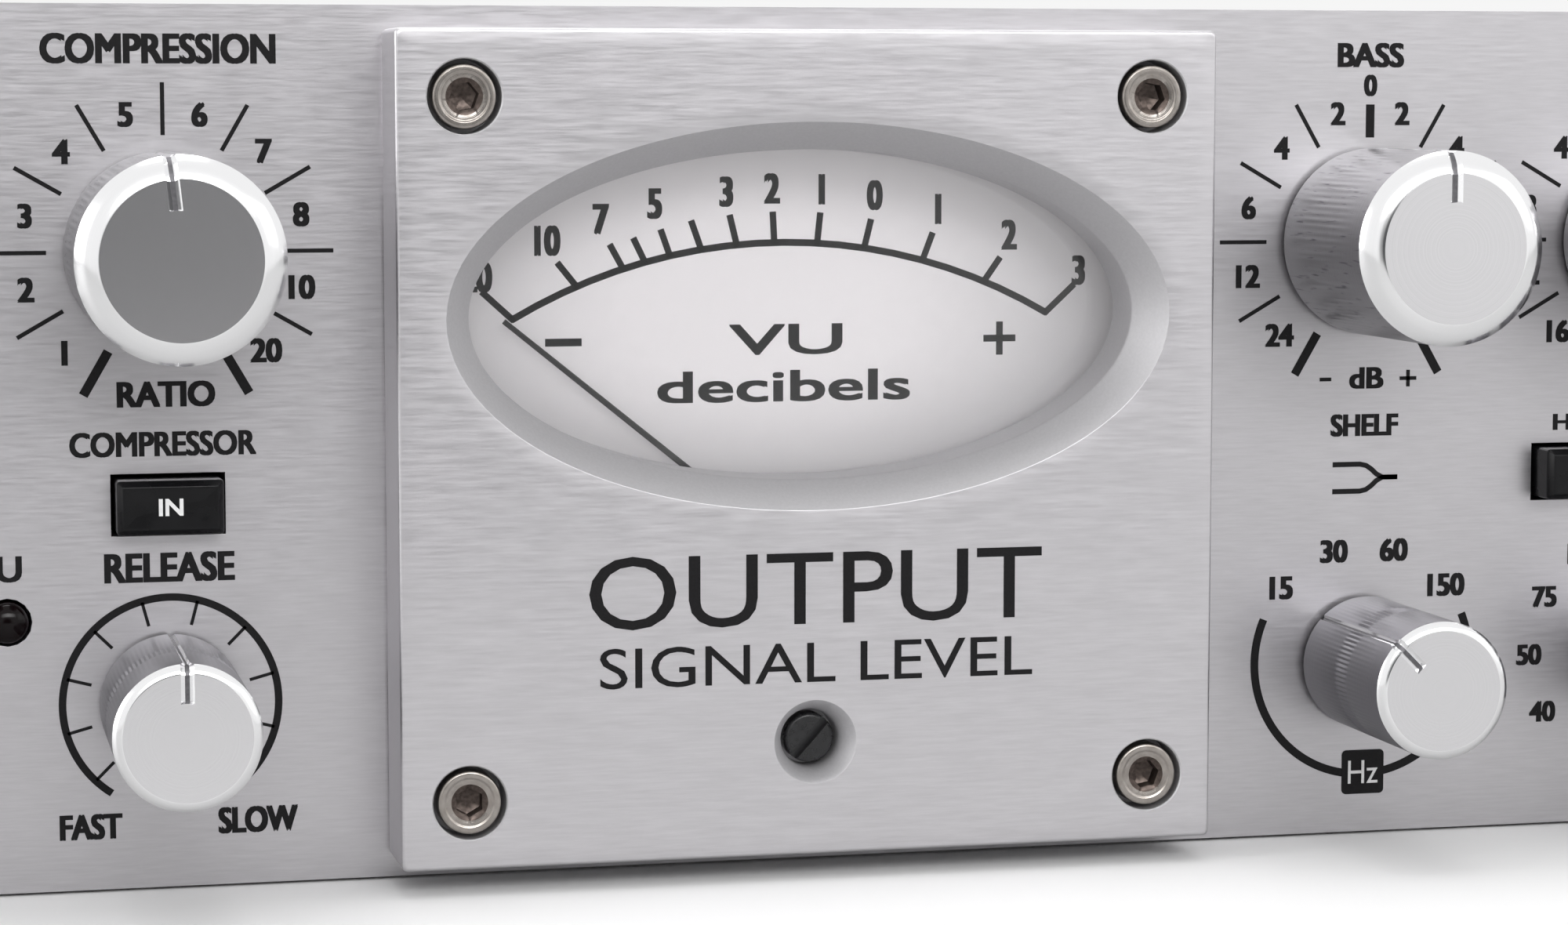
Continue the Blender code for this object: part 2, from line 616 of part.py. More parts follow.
def make_meter_dial():
    front = FRONT_Y + DIAL_SETBACK
    half_width = METER_HALF_WIDTH - METER_WALL - SEAM
    low = METER_BOTTOM_Z + METER_WALL + SEAM
    high = METER_TOP_Z - METER_WALL - SEAM
    hole = rod((0, front - SHEET, PIVOT_Z), (0, front + SHEET, PIVOT_Z), HUB_RADIUS + 2 * SLIDE_GAP)
    solid("meter_dial", "dial_card",
          box((-half_width, front, low), (half_width, front + DIAL_THICKNESS, high)), cut=[hole])


def make_meter_needle():
    """The needle lies straight up in its own frame, whose origin is on the pivot."""
    half = NEEDLE_WIDTH / 2
    blade = box((-half, 0, -NEEDLE_TAIL), (half, NEEDLE_THICKNESS, NEEDLE_LENGTH))
    hub = rod((0, 0, 0), (0, HUB_LENGTH, 0), HUB_RADIUS)
    needle = solid("meter_needle", "black_needle", blade)
    hub_tool = combine(needle, [hub], "UNION")
    pivot = Matrix.Translation((0, FRONT_Y + NEEDLE_SETBACK, PIVOT_Z))
    needle.matrix_world = pivot @ Matrix.Rotation(NEEDLE_REST, 4, "Y")
    hub_tool.matrix_world = needle.matrix_world


def make_knob(name, x, z, pointer, radius, height, chamfer):
    foot = height - KNOB_FOOT_GAP
    reach = foot + KNOB_FOOT_GAP + PANEL_THICKNESS + SEAM + SPINDLE_REACH
    profile = [(0, 0), (radius - chamfer, 0), (radius, -chamfer), (radius, -foot),
               (SPINDLE_RADIUS, -foot), (SPINDLE_RADIUS, -reach), (0, -reach)]
    place = facing_front(x, FRONT_Y - height, z, math.radians(pointer))
    knob = turned(name, "turned_aluminium", profile, place, KNOB_SEGMENTS)
    half = POINTER_WIDTH / 2
    inner = radius * (1 - POINTER_SHARE)
    groove = box((-half, inner, -POINTER_DEPTH), (half, radius + chamfer, chamfer))
    combine(knob, [groove], "DIFFERENCE").matrix_world = place


def make_knobs():
    for name, x, z, pointer in LARGE_KNOBS:
        make_knob(name, x, z, pointer, LARGE_KNOB_RADIUS, LARGE_KNOB_HEIGHT, LARGE_KNOB_CHAMFER)
    for name, x, z, pointer in SMALL_KNOBS:
        make_knob(name, x, z, pointer, SMALL_KNOB_RADIUS, SMALL_KNOB_HEIGHT, SMALL_KNOB_CHAMFER)


def make_buttons():
    for name, x, z in BUTTONS:
        front = FRONT_Y - BUTTON_PROUD
        back = front + BUTTON_DEPTH
        cap = box((x - BUTTON_WIDTH / 2, front, z - BUTTON_HEIGHT / 2),
                  (x + BUTTON_WIDTH / 2, back, z + BUTTON_HEIGHT / 2))
        half = BUTTON_STEM / 2
        stem = box((x - half, back - SHEET, z - half), (x + half, back + BUTTON_STEM_LENGTH, z + half))
        button = link(name, mesh_from(name, [cap]), "black_button_plastic")
        edge = button.modifiers.new("Edge", "BEVEL")
        edge.width = BUTTON_BEVEL
        edge.segments = 1
        edge.limit_method = "ANGLE"
        combine(button, [stem], "UNION")


def make_control_board(name, low_x, high_x):
    """A board behind the panel that carries the potentiometers and switches of its side."""
    board = box((low_x, BOARD_Y, BOARD_BOTTOM_Z), (high_x, BOARD_Y + BOARD_THICKNESS, BOARD_TOP_Z))
    joins = []
    bores = []
    overlap = BOARD_THICKNESS / 2
    for x, z in front_columns():
        if low_x < x < high_x:
            joins.append(rod((x, BACK_Y + SEAM, z), (x, BOARD_Y + overlap, z), POT_RADIUS, POT_SEGMENTS))
            bores.append(rod((x, BACK_Y - SHEET, z), (x, BACK_Y + 2 * SEAM + SPINDLE_REACH, z),
                             SPINDLE_RADIUS + SLIDE_GAP, POT_SEGMENTS))
    switch_front = FRONT_Y - BUTTON_PROUD + BUTTON_DEPTH + BUTTON_TRAVEL + SWITCH_FRONT_GAP
    stem_end = FRONT_Y - BUTTON_PROUD + BUTTON_DEPTH + BUTTON_STEM_LENGTH + BUTTON_TRAVEL
    half = BUTTON_STEM / 2 + SLIDE_GAP
    for _, x, z in BUTTONS:
        if low_x < x < high_x:
            joins.append(box((x - SWITCH_WIDTH / 2, switch_front, z - SWITCH_HEIGHT / 2),
                             (x + SWITCH_WIDTH / 2, BOARD_Y + overlap, z + SWITCH_HEIGHT / 2)))
            bores.append(box((x - half, switch_front - SHEET, z - half),
                             (x + half, stem_end + SEAM, z + half)))
    for x, z, radius in ((LAMP_X, LAMP_Z, LAMP_RADIUS + LAMP_FLANGE), (SELECTOR_X, JACK_Z, JACK_BODY_RADIUS)):
        if low_x < x < high_x:
            bores.append(rod((x, BOARD_Y - SHEET, z), (x, BOARD_Y + 2 * SHEET, z), radius + SEAM))
    solid(name, "green_board", board, join=joins, cut=bores)


def make_control_boards():
    inner = METER_HALF_WIDTH + BOARD_METER_GAP
    outer = CASE_HALF_WIDTH - SHEET - BOARD_SIDE_GAP
    make_control_board("left_control_board", -outer, -inner)
    make_control_board("right_control_board", inner, outer)


def make_lamp():
    back = PANEL_THICKNESS + SEAM
    flange = LAMP_RADIUS + LAMP_FLANGE
    curve = [(LAMP_RADIUS * math.sin(angle), LAMP_DOME * math.cos(angle))
             for angle in (math.radians(22.5 * step) for step in range(5))]
    profile = curve + [(LAMP_RADIUS, -back), (flange, -back), (flange, -back - LAMP_FLANGE),
                       (0, -back - LAMP_FLANGE)]
    turned("meter_mode_lamp", "dark_lamp_lens", profile, facing_front(LAMP_X, FRONT_Y, LAMP_Z), 16)


def make_jack():
    nut_back = SEAM
    body_front = -(PANEL_THICKNESS + SEAM)
    profile = [(JACK_BORE_RADIUS, SEAM + JACK_NUT_HEIGHT), (JACK_NUT_RADIUS, SEAM + JACK_NUT_HEIGHT),
               (JACK_NUT_RADIUS, nut_back), (JACK_BARREL_RADIUS, nut_back),
               (JACK_BARREL_RADIUS, body_front), (JACK_BODY_RADIUS, body_front),
               (JACK_BODY_RADIUS, body_front - JACK_BODY_LENGTH), (0, body_front - JACK_BODY_LENGTH),
               (0, SEAM + JACK_NUT_HEIGHT - JACK_BORE_DEPTH),
               (JACK_BORE_RADIUS, SEAM + JACK_NUT_HEIGHT - JACK_BORE_DEPTH),
               (JACK_BORE_RADIUS, SEAM + JACK_NUT_HEIGHT)]
    turned("instrument_jack", "nickel", profile, facing_front(SELECTOR_X, FRONT_Y, JACK_Z), 16)


def cover_screw_places():
    x = CASE_HALF_WIDTH - LIP_WIDTH / 2
    front = CASE_Y + COVER_SCREW_INSET_Y
    rear = REAR_Y - COVER_SCREW_INSET_Y
    return [(-x, front), (x, front), (-x, rear), (x, rear)]


def make_chassis():
    lip_bottom = TRAY_TOP_Z - SHEET
    inner = CASE_HALF_WIDTH - SHEET
    cavity = box((-inner, CASE_Y - SHEET, SHEET), (inner, REAR_Y + SHEET, lip_bottom))
    mouth = box((-CASE_HALF_WIDTH + LIP_WIDTH, CASE_Y - SHEET, lip_bottom - SHEET),
                (CASE_HALF_WIDTH - LIP_WIDTH, REAR_Y + SHEET, TRAY_TOP_Z + SHEET))
    tray = solid("chassis_tray", "grey_sheet_steel",
                 box((-CASE_HALF_WIDTH, CASE_Y, 0), (CASE_HALF_WIDTH, REAR_Y, TRAY_TOP_Z)), cut=[cavity])
    combine(tray, [mouth], "DIFFERENCE")
    hole_radius = COVER_SCREW_RADIUS + SLIDE_GAP
    lip_holes = [rod((x, y, lip_bottom - SHEET), (x, y, TRAY_TOP_Z + SHEET), hole_radius, 12)
                 for x, y in cover_screw_places()]
    combine(tray, lip_holes, "DIFFERENCE")


def make_top_cover():
    low = TRAY_TOP_Z + SEAM
    below = low - SHEET
    above = CASE_TOP_Z + SHEET
    cuts = [rod((x, y, below), (x, y, above), COVER_SCREW_RADIUS + SLIDE_GAP, 12)
            for x, y in cover_screw_places()]
    first = MAIN_BOARD_CENTRE_X - VENT_PITCH * (VENTS_IN_ROW - 1) / 2
    row_y = CASE_Y + MAIN_BOARD_SETBACK + TUBE_ROW_Y
    for number in range(VENTS_IN_ROW):
        x = first + number * VENT_PITCH
        cuts.append(box((x - VENT_WIDTH / 2, row_y - VENT_LENGTH / 2, below),
                        (x + VENT_WIDTH / 2, row_y + VENT_LENGTH / 2, above)))
    solid("top_cover", "grey_sheet_steel",
          box((-CASE_HALF_WIDTH, CASE_Y, low), (CASE_HALF_WIDTH, REAR_Y, CASE_TOP_Z)), cut=cuts)


def make_cover_screws():
    for number, (x, y) in enumerate(cover_screw_places(), start=1):
        seat = CASE_TOP_Z + SEAM
        profile = [(0, COVER_SCREW_HEAD_HEIGHT), (COVER_SCREW_HEAD_RADIUS * 0.7, COVER_SCREW_HEAD_HEIGHT),
                   (COVER_SCREW_HEAD_RADIUS, 0), (COVER_SCREW_RADIUS, 0),
                   (COVER_SCREW_RADIUS, -COVER_SCREW_LENGTH), (0, -COVER_SCREW_LENGTH)]
        turned(f"cover_screw_{number}", "screw_steel", profile, standing(x, y, seat), 12)


def xlr_places():
    return [XLR_FIRST_X + number * XLR_PITCH for number in range(3)]


def make_rear_panel():
    half_width = CASE_HALF_WIDTH - SHEET - SEAM
    through = (REAR_Y - 2 * REAR_SHEET, REAR_Y + REAR_SHEET)
    cuts = [rod((x, through[0], XLR_Z), (x, through[1], XLR_Z), XLR_BARREL_RADIUS + SEAM, XLR_SEGMENTS)
            for x in xlr_places()]
    cuts.append(rod((FUSE_X, through[0], INLET_Z), (FUSE_X, through[1], INLET_Z), FUSE_BODY_RADIUS + SEAM))
    half_body = (INLET_BODY[0] / 2 + SEAM, INLET_BODY[1] / 2 + SEAM)
    cuts.append(box((INLET_X - half_body[0], through[0], INLET_Z - half_body[1]),
                    (INLET_X + half_body[0], through[1], INLET_Z + half_body[1])))
    solid("rear_panel", "grey_sheet_steel",
          box((-half_width, REAR_Y - REAR_SHEET, SHEET + SEAM),
              (half_width, REAR_Y, TRAY_TOP_Z - SHEET - SEAM)), cut=cuts)


def xlr_flange(x):
    return centred_box(x, XLR_Z, XLR_FLANGE_WIDTH, XLR_FLANGE_HEIGHT, REAR_Y + SEAM,
                       REAR_Y + SEAM + XLR_FLANGE_THICKNESS)


def xlr_contact_places(x, turn):
    angles = [math.radians(turn + 90 * quarter) for quarter in (0, 1, 2)]
    return [(x + XLR_PIN_CIRCLE * math.cos(angle), XLR_Z + XLR_PIN_CIRCLE * math.sin(angle))
            for angle in angles]


def make_xlr_sockets():
    """Two female sockets: a ring groove takes the plug's shell, three holes take its pins."""
    face = REAR_Y + SEAM + XLR_FLANGE_THICKNESS
    back = REAR_Y - XLR_DEPTH
    groove_back = face - XLR_GROOVE_DEPTH
    for name, x in (("microphone_input", xlr_places()[0]), ("line_input", xlr_places()[1])):
        barrel = rod((x, back, XLR_Z), (x, face, XLR_Z), XLR_BARREL_RADIUS, XLR_SEGMENTS)
        connector = solid(name, "black_connector", barrel, join=[xlr_flange(x)])
        ring = rod((x, groove_back, XLR_Z), (x, face + SHEET, XLR_Z), XLR_GROOVE_OUTER, XLR_SEGMENTS)
        combine(connector, [ring], "DIFFERENCE")
        core = rod((x, groove_back - SHEET, XLR_Z), (x, face, XLR_Z), XLR_GROOVE_INNER, XLR_SEGMENTS)
        combine(connector, [core], "UNION")
        holes = [rod((px, groove_back, pz), (px, face + SHEET, pz), XLR_PIN_RADIUS + SEAM, 8)
                 for px, pz in xlr_contact_places(x, 0)]
        combine(connector, holes, "DIFFERENCE")


def make_xlr_plug():
    """The male output: a cup with three pins on its floor."""
    x = xlr_places()[2]
    face = REAR_Y + SEAM + XLR_FLANGE_THICKNESS
    floor = face - XLR_CUP_DEPTH
    barrel = rod((x, REAR_Y - XLR_DEPTH, XLR_Z), (x, face, XLR_Z), XLR_BARREL_RADIUS, XLR_SEGMENTS)
    connector = solid("balanced_output", "black_connector", barrel, join=[xlr_flange(x)])
    cup = rod((x, floor, XLR_Z), (x, face + SHEET, XLR_Z), XLR_GROOVE_OUTER, XLR_SEGMENTS)
    combine(connector, [cup], "DIFFERENCE")
    pins = [rod((px, floor - SHEET, pz), (px, face - SHEET, pz), XLR_PIN_RADIUS, 8)
            for px, pz in xlr_contact_places(x, 180)]
    combine(connector, pins, "UNION")


def make_mains_inlet():
    """A mains inlet with the power switch's well in the same housing."""
    face = REAR_Y + SEAM + INLET_FLANGE[2]
    body = centred_box(INLET_X, INLET_Z, INLET_BODY[0], INLET_BODY[1], REAR_Y - INLET_BODY[2], face)
    flange = centred_box(INLET_X, INLET_Z, INLET_FLANGE[0], INLET_FLANGE[1], REAR_Y + SEAM, face)
    recess_x = INLET_X + INLET_RECESS_X
    floor = face - INLET_RECESS[2]
    recess = centred_box(recess_x, INLET_Z, INLET_RECESS[0], INLET_RECESS[1], floor, face + SHEET)
    well = centred_box(INLET_X + ROCKER_X, INLET_Z, ROCKER_WIDTH + 2 * ROCKER_SIDE_GAP,
                       ROCKER_HEIGHT + 2 * ROCKER_SIDE_GAP, face - ROCKER_WELL_DEPTH, face + SHEET)
    inlet = solid("mains_inlet", "black_connector", body, join=[flange], cut=[recess, well])
    blades = [centred_box(recess_x + x, INLET_Z + z, BLADE_SIZE[0], BLADE_SIZE[2], floor - SHEET,
                          floor + BLADE_SIZE[1])
              for x, z in ((-BLADE_X, BLADE_Z), (BLADE_X, BLADE_Z), (0, EARTH_BLADE_Z))]
    combine(inlet, blades, "UNION")


def make_power_rocker():
    """The rocker tilts about X. At rest its upper end stands proud, which is its off side."""
    half = ROCKER_HEIGHT / 2
    outline = [(ROCKER_HORN, -half), (ROCKER_VALLEY, 0), (ROCKER_HORN, half),
               (-ROCKER_KEEL, ROCKER_KEEL_HALF), (-ROCKER_KEEL, -ROCKER_KEEL_HALF)]
    rocker = solid("power_rocker", "black_button_plastic", prism(outline, ROCKER_WIDTH / 2))
    axle_y = REAR_Y + SEAM + INLET_FLANGE[2]
    place = Matrix.Translation((INLET_X + ROCKER_X, axle_y, INLET_Z))
    rocker.matrix_world = place @ Matrix.Rotation(-ROCKER_TILT, 4, "X")


def make_fuse_holder():
    profile = [(0, FUSE_CAP_HEIGHT), (FUSE_CAP_RADIUS, FUSE_CAP_HEIGHT), (FUSE_CAP_RADIUS, 0),
               (FUSE_BODY_RADIUS, 0), (FUSE_BODY_RADIUS, -FUSE_BODY_LENGTH), (0, -FUSE_BODY_LENGTH)]
    turned("fuse_holder", "black_connector", profile, facing_rear(FUSE_X, REAR_Y + SEAM, INLET_Z), 16)


def tube_places():
    first = MAIN_BOARD_CENTRE_X - 1.5 * TUBE_PITCH
    y = CASE_Y + MAIN_BOARD_SETBACK + TUBE_ROW_Y
    return [(first + number * TUBE_PITCH, y) for number in range(4)]


def make_main_board():
    """The main board on its standoffs, with the tube sockets, capacitors and heat sink fixed to it."""
    low_x = MAIN_BOARD_CENTRE_X - MAIN_BOARD_WIDTH / 2
    high_x = MAIN_BOARD_CENTRE_X + MAIN_BOARD_WIDTH / 2
    front = CASE_Y + MAIN_BOARD_SETBACK
    back = front + MAIN_BOARD_DEPTH
    core = MAIN_BOARD_Z + BOARD_THICKNESS / 2
    joins = [rod((x, y, SHEET + SEAM), (x, y, core), STANDOFF_RADIUS, 8)
             for x in (low_x + STANDOFF_INSET, high_x - STANDOFF_INSET)
             for y in (front + STANDOFF_INSET, back - STANDOFF_INSET)]
    for x, y in tube_places():
        joins.append(rod((x, y, core), (x, y, MAIN_BOARD_TOP_Z + SOCKET_HEIGHT), TUBE_RADIUS, TUBE_SEGMENTS))
    for number in range(4):
        x = MAIN_BOARD_CENTRE_X + (number - 1.5) * CAPACITOR_PITCH
        y = front + CAPACITOR_ROW_Y
        joins.append(rod((x, y, core), (x, y, MAIN_BOARD_TOP_Z + CAPACITOR_HEIGHT), CAPACITOR_RADIUS, 12))
    width, depth, height = HEAT_SINK_SIZE
    sink_x = MAIN_BOARD_CENTRE_X + HEAT_SINK_X
    sink_y = front + CAPACITOR_ROW_Y
    joins.append(box((sink_x - width / 2, sink_y - depth / 2, core),
                     (sink_x + width / 2, sink_y + depth / 2, MAIN_BOARD_TOP_Z + height)))
    solid("main_board", "green_board",
          box((low_x, front, MAIN_BOARD_Z), (high_x, back, MAIN_BOARD_TOP_Z)), join=joins)


def make_tubes():
    shoulder = TUBE_HEIGHT - TUBE_DOME
    dome = [(TUBE_RADIUS * math.sin(angle), shoulder + (TUBE_DOME - TUBE_TIP_RADIUS) * math.cos(angle))
            for angle in (math.radians(20 + 17.5 * step) for step in range(5))]
    profile = [(0, TUBE_HEIGHT), (TUBE_TIP_RADIUS, TUBE_HEIGHT - TUBE_TIP_RADIUS), *dome,
               (TUBE_RADIUS, 0), (0, 0)]
    for number, (x, y) in enumerate(tube_places(), start=1):
        base = MAIN_BOARD_TOP_Z + SOCKET_HEIGHT + SEAM
        turned(f"vacuum_tube_{number}", "tube_glass", profile, standing(x, y, base), TUBE_SEGMENTS)


def make_transformer():
    y = CASE_Y + TOROID_SETBACK
    base = SHEET + SEAM
    top = TOROID_HEIGHT
    edge = TOROID_ROUND
    profile = [(TOROID_HOLE_RADIUS, top - edge), (TOROID_HOLE_RADIUS + edge, top),
               (TOROID_RADIUS - edge, top), (TOROID_RADIUS, top - edge), (TOROID_RADIUS, edge),
               (TOROID_RADIUS - edge, 0), (TOROID_HOLE_RADIUS + edge, 0), (TOROID_HOLE_RADIUS, edge),
               (TOROID_HOLE_RADIUS, top - edge)]
    turned("toroidal_transformer", "transformer_tape", profile, standing(TOROID_X, y, base),
           TOROID_SEGMENTS)
    seat = top + SEAM
    plate_top = seat + CLAMP_THICKNESS
    bolt_top = plate_top + CLAMP_BOLT_HEAD_HEIGHT
    clamp = [(0, bolt_top), (CLAMP_BOLT_HEAD_RADIUS, bolt_top), (CLAMP_BOLT_HEAD_RADIUS, plate_top),
             (CLAMP_RADIUS, plate_top), (CLAMP_RADIUS, seat), (CLAMP_BOLT_RADIUS, seat),
             (CLAMP_BOLT_RADIUS, 0), (0, 0)]
    turned("transformer_clamp", "screw_steel", clamp, standing(TOROID_X, y, base), TOROID_SEGMENTS)


clear_scene()
parts = new_collection("rack_compressor")
cutters = new_collection("cutters")
make_front_panel()
make_meter_plate()
make_plate_screws()
make_zero_adjuster()
make_meter_case()
make_meter_lens()
make_meter_dial()
make_meter_needle()
make_knobs()
make_buttons()
make_control_boards()
make_lamp()
make_jack()
make_chassis()
make_top_cover()
make_cover_screws()
make_rear_panel()
make_xlr_sockets()
make_xlr_plug()
make_mains_inlet()
make_power_rocker()
make_fuse_holder()
make_main_board()
make_tubes()
make_transformer()
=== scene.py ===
"""Looks of the rack compressor: finishes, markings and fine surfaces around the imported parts.

Metres, +Z up, the front panel faces -Y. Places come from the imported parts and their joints.
"""
import json
import math

import bmesh
import bpy
import numpy as np
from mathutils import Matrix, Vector

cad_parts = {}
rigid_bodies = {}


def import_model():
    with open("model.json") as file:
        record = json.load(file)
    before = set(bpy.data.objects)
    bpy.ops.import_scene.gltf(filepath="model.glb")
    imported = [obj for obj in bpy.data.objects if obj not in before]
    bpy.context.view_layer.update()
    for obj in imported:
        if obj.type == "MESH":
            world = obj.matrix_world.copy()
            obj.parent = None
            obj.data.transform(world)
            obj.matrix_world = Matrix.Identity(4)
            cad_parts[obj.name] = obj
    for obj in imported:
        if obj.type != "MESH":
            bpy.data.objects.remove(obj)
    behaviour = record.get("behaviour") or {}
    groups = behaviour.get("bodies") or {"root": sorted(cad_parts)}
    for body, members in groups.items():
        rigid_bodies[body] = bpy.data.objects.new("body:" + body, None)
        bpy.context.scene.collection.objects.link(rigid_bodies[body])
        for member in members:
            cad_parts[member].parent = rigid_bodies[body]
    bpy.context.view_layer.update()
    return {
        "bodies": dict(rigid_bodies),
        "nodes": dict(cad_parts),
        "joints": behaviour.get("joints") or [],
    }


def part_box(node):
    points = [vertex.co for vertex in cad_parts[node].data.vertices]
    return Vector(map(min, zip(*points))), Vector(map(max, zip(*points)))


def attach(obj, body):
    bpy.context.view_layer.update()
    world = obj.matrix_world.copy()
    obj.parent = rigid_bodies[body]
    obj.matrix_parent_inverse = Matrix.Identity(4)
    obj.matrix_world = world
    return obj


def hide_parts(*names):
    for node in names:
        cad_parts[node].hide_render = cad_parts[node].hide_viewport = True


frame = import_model()
MM = 0.001

# ---------------------------------------------------------------------------------------------
# The room: a white table in a bright tent, with softboxes over it. The tent has a soft dark
# opening in front, at the height of the panel, which the turned faces pick up.
# ---------------------------------------------------------------------------------------------


def colour(code):
    """Six sRGB hex digits as a linear colour with full opacity."""
    shares = [int(code[start:start + 2], 16) / 255 for start in (0, 2, 4)]
    return (*[s / 12.92 if s <= 0.04045 else ((s + 0.055) / 1.055) ** 2.4 for s in shares], 1.0)


def node(tree, kind, inputs=None, **settings):
    """Adds a shader node with its settings; each input takes a value or another node's output."""
    made = tree.nodes.new(kind)
    for name, value in settings.items():
        setattr(made, name, value)
    for key, value in (inputs or {}).items():
        if isinstance(value, bpy.types.NodeSocket):
            tree.links.new(value, made.inputs[key])
        else:
            made.inputs[key].default_value = value
    return made


def finish(name, base, metallic, roughness, **more):
    """A new material with one Principled shader; returns the material, its tree and the shader."""
    made = bpy.data.materials.new(name)
    made.use_nodes = True
    tree = made.node_tree
    shader = tree.nodes["Principled BSDF"]
    shader.inputs["Base Color"].default_value = colour(base)
    shader.inputs["Metallic"].default_value = metallic
    shader.inputs["Roughness"].default_value = roughness
    for key, value in more.items():
        shader.inputs[key.replace("_", " ").title().replace("Ior", "IOR")].default_value = value
    return made, tree, shader


def mottle(tree, shader, scale, dark, light, detail=2.0, relief=None, wear=None, space="local"):
    """Noise of so many cells a metre runs the base colour from dark to light and, with a relief of
    (strength, depth), bumps the surface. A wear of (low, high, smooth, rough) makes it as smooth as
    that where the noise is low, and as rough where it is high. It follows the piece's own
    coordinates, which are kept in its attribute "local", or its Object coordinates."""
    if space == "local":
        place = node(tree, "ShaderNodeAttribute", attribute_name="local").outputs["Vector"]
    else:
        place = node(tree, "ShaderNodeTexCoord").outputs["Object"]
    noise = node(tree, "ShaderNodeTexNoise", {"Vector": place, "Scale": scale, "Detail": detail}).outputs[0]
    tree.links.new(node(tree, "ShaderNodeMix", {0: noise, 6: colour(dark), 7: colour(light)},
                        data_type="RGBA").outputs[2], shader.inputs["Base Color"])
    if relief:
        strength, depth = relief
        tree.links.new(node(tree, "ShaderNodeBump", {
            "Height": noise, "Strength": strength, "Distance": depth}).outputs[0], shader.inputs["Normal"])
    if wear:
        low, high, smooth, rough = wear
        tree.links.new(node(tree, "ShaderNodeMapRange", {
            "Value": noise, "From Min": low, "From Max": high, "To Min": smooth, "To Max": rough}).outputs[0],
            shader.inputs["Roughness"])


scene = bpy.context.scene
scene.view_settings.view_transform = "Standard"
world = bpy.data.worlds.new("studio")
world.use_nodes = True
TENT_LIGHT = 0.92
OPENING_EDGE = math.cos(math.radians(20))
OPENING_CORE = math.cos(math.radians(7))
tent = world.node_tree
frontness = node(tent, "ShaderNodeVectorMath", {
    0: node(tent, "ShaderNodeTexCoord").outputs["Generated"], 1: (0, -1, 0)}, operation="DOT_PRODUCT")
opening = node(tent, "ShaderNodeMapRange", {
    "Value": frontness.outputs["Value"], "From Min": OPENING_EDGE, "From Max": OPENING_CORE},
    interpolation_type="SMOOTHSTEP")
tent.links.new(node(tent, "ShaderNodeMix", {
    0: opening.outputs[0], 6: colour("FFFFFF"), 7: colour("49494B")}, data_type="RGBA").outputs[2],
    tent.nodes["Background"].inputs["Color"])
tent.nodes["Background"].inputs["Strength"].default_value = TENT_LIGHT
scene.world = world

TABLE_REACH = 12.0
SHEET_FRONT = -0.62


def table(name, light, dark, height, front):
    """A level sheet of laminate, slightly satin, with a faint unevenness in its tone."""
    laminate, tree, shader = finish(name, light, 0.0, 0.55)
    mottle(tree, shader, 3.0, dark, light, space="Object")
    mesh = bpy.data.meshes.new(name)
    corners = [(-TABLE_REACH, front), (TABLE_REACH, front), (TABLE_REACH, TABLE_REACH),
               (-TABLE_REACH, TABLE_REACH)]
    mesh.from_pydata([(x, y, height) for x, y in corners], [], [(0, 1, 2, 3)])
    mesh.materials.append(laminate)
    made = bpy.data.objects.new(name, mesh)
    scene.collection.objects.link(made)
    return made


# The white table is bright enough to flood polished metal, so gloss sees a greyer sheet instead.
white_table = table("white_table", "F6F6F6", "F1F1F1", -0.0003, -TABLE_REACH)
white_table.visible_glossy = False
grey_sheet = table("grey_sheet_for_gloss", "BEBEBE", "B8B8B8", -0.0002, SHEET_FRONT)
grey_sheet.visible_camera = False
grey_sheet.visible_diffuse = False
grey_sheet.visible_shadow = False
grey_sheet.visible_transmission = False


def softbox(name, place, target, width, height, power, spread):
    """A rectangular area light turned to face a target; a grid narrows its spread, in degrees."""
    light = bpy.data.lights.new(name, "AREA")
    light.shape = "RECTANGLE"
    light.size = width
    light.size_y = height
    light.energy = power
    light.spread = math.radians(spread)
    made = bpy.data.objects.new(name, light)
    scene.collection.objects.link(made)
    made.location = place
    made.rotation_mode = "QUATERNION"
    made.rotation_quaternion = (Vector(target) - Vector(place)).to_track_quat("-Z", "Y")


softbox("overhead_softbox", (0.0, -0.10, 0.90), (0.0, -0.13, 0.0), 1.0, 0.25, 0.28, 40)
softbox("front_softbox", (0.1, -1.40, 0.66), (0.0, -0.15, 0.05), 1.5, 0.35, 1.3, 60)
softbox("right_softbox", (1.25, -0.95, 0.55), (0.0, -0.15, 0.05), 1.0, 0.7, 0.2, 60)
softbox("left_softbox", (-1.25, -0.35, 0.40), (0.0, -0.15, 0.05), 0.8, 0.7, 0.9, 60)
softbox("rear_softbox", (0.2, 1.4, 0.9), (0.0, 0.1, 0.05), 1.2, 0.8, 3.0, 180)

camera_data = bpy.data.cameras.new("camera")
camera_data.sensor_width = 36.0
camera_data.lens = 87.37
camera_data.clip_start = 0.01
camera_data.clip_end = 100.0
camera = bpy.data.objects.new("camera", camera_data)
scene.collection.objects.link(camera)
camera.location = (-0.0907, -0.52517, 0.07848)
camera.rotation_euler = (math.radians(90 - 5.416), 0.0, math.radians(-13.284))
scene.camera = camera

# ---------------------------------------------------------------------------------------------
# Front panel: 6 mm aluminium plate, brushed along its length and clear anodised, with its edges
# broken. The holes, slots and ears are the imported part's own.
# ---------------------------------------------------------------------------------------------

BRUSH_STROKE = 4.5 * MM
BRUSH_PITCH = 0.30 * MM     # coarser than the real 0.1 mm scratches, so that they show
BRUSH_RELIEF = 0.008 * MM


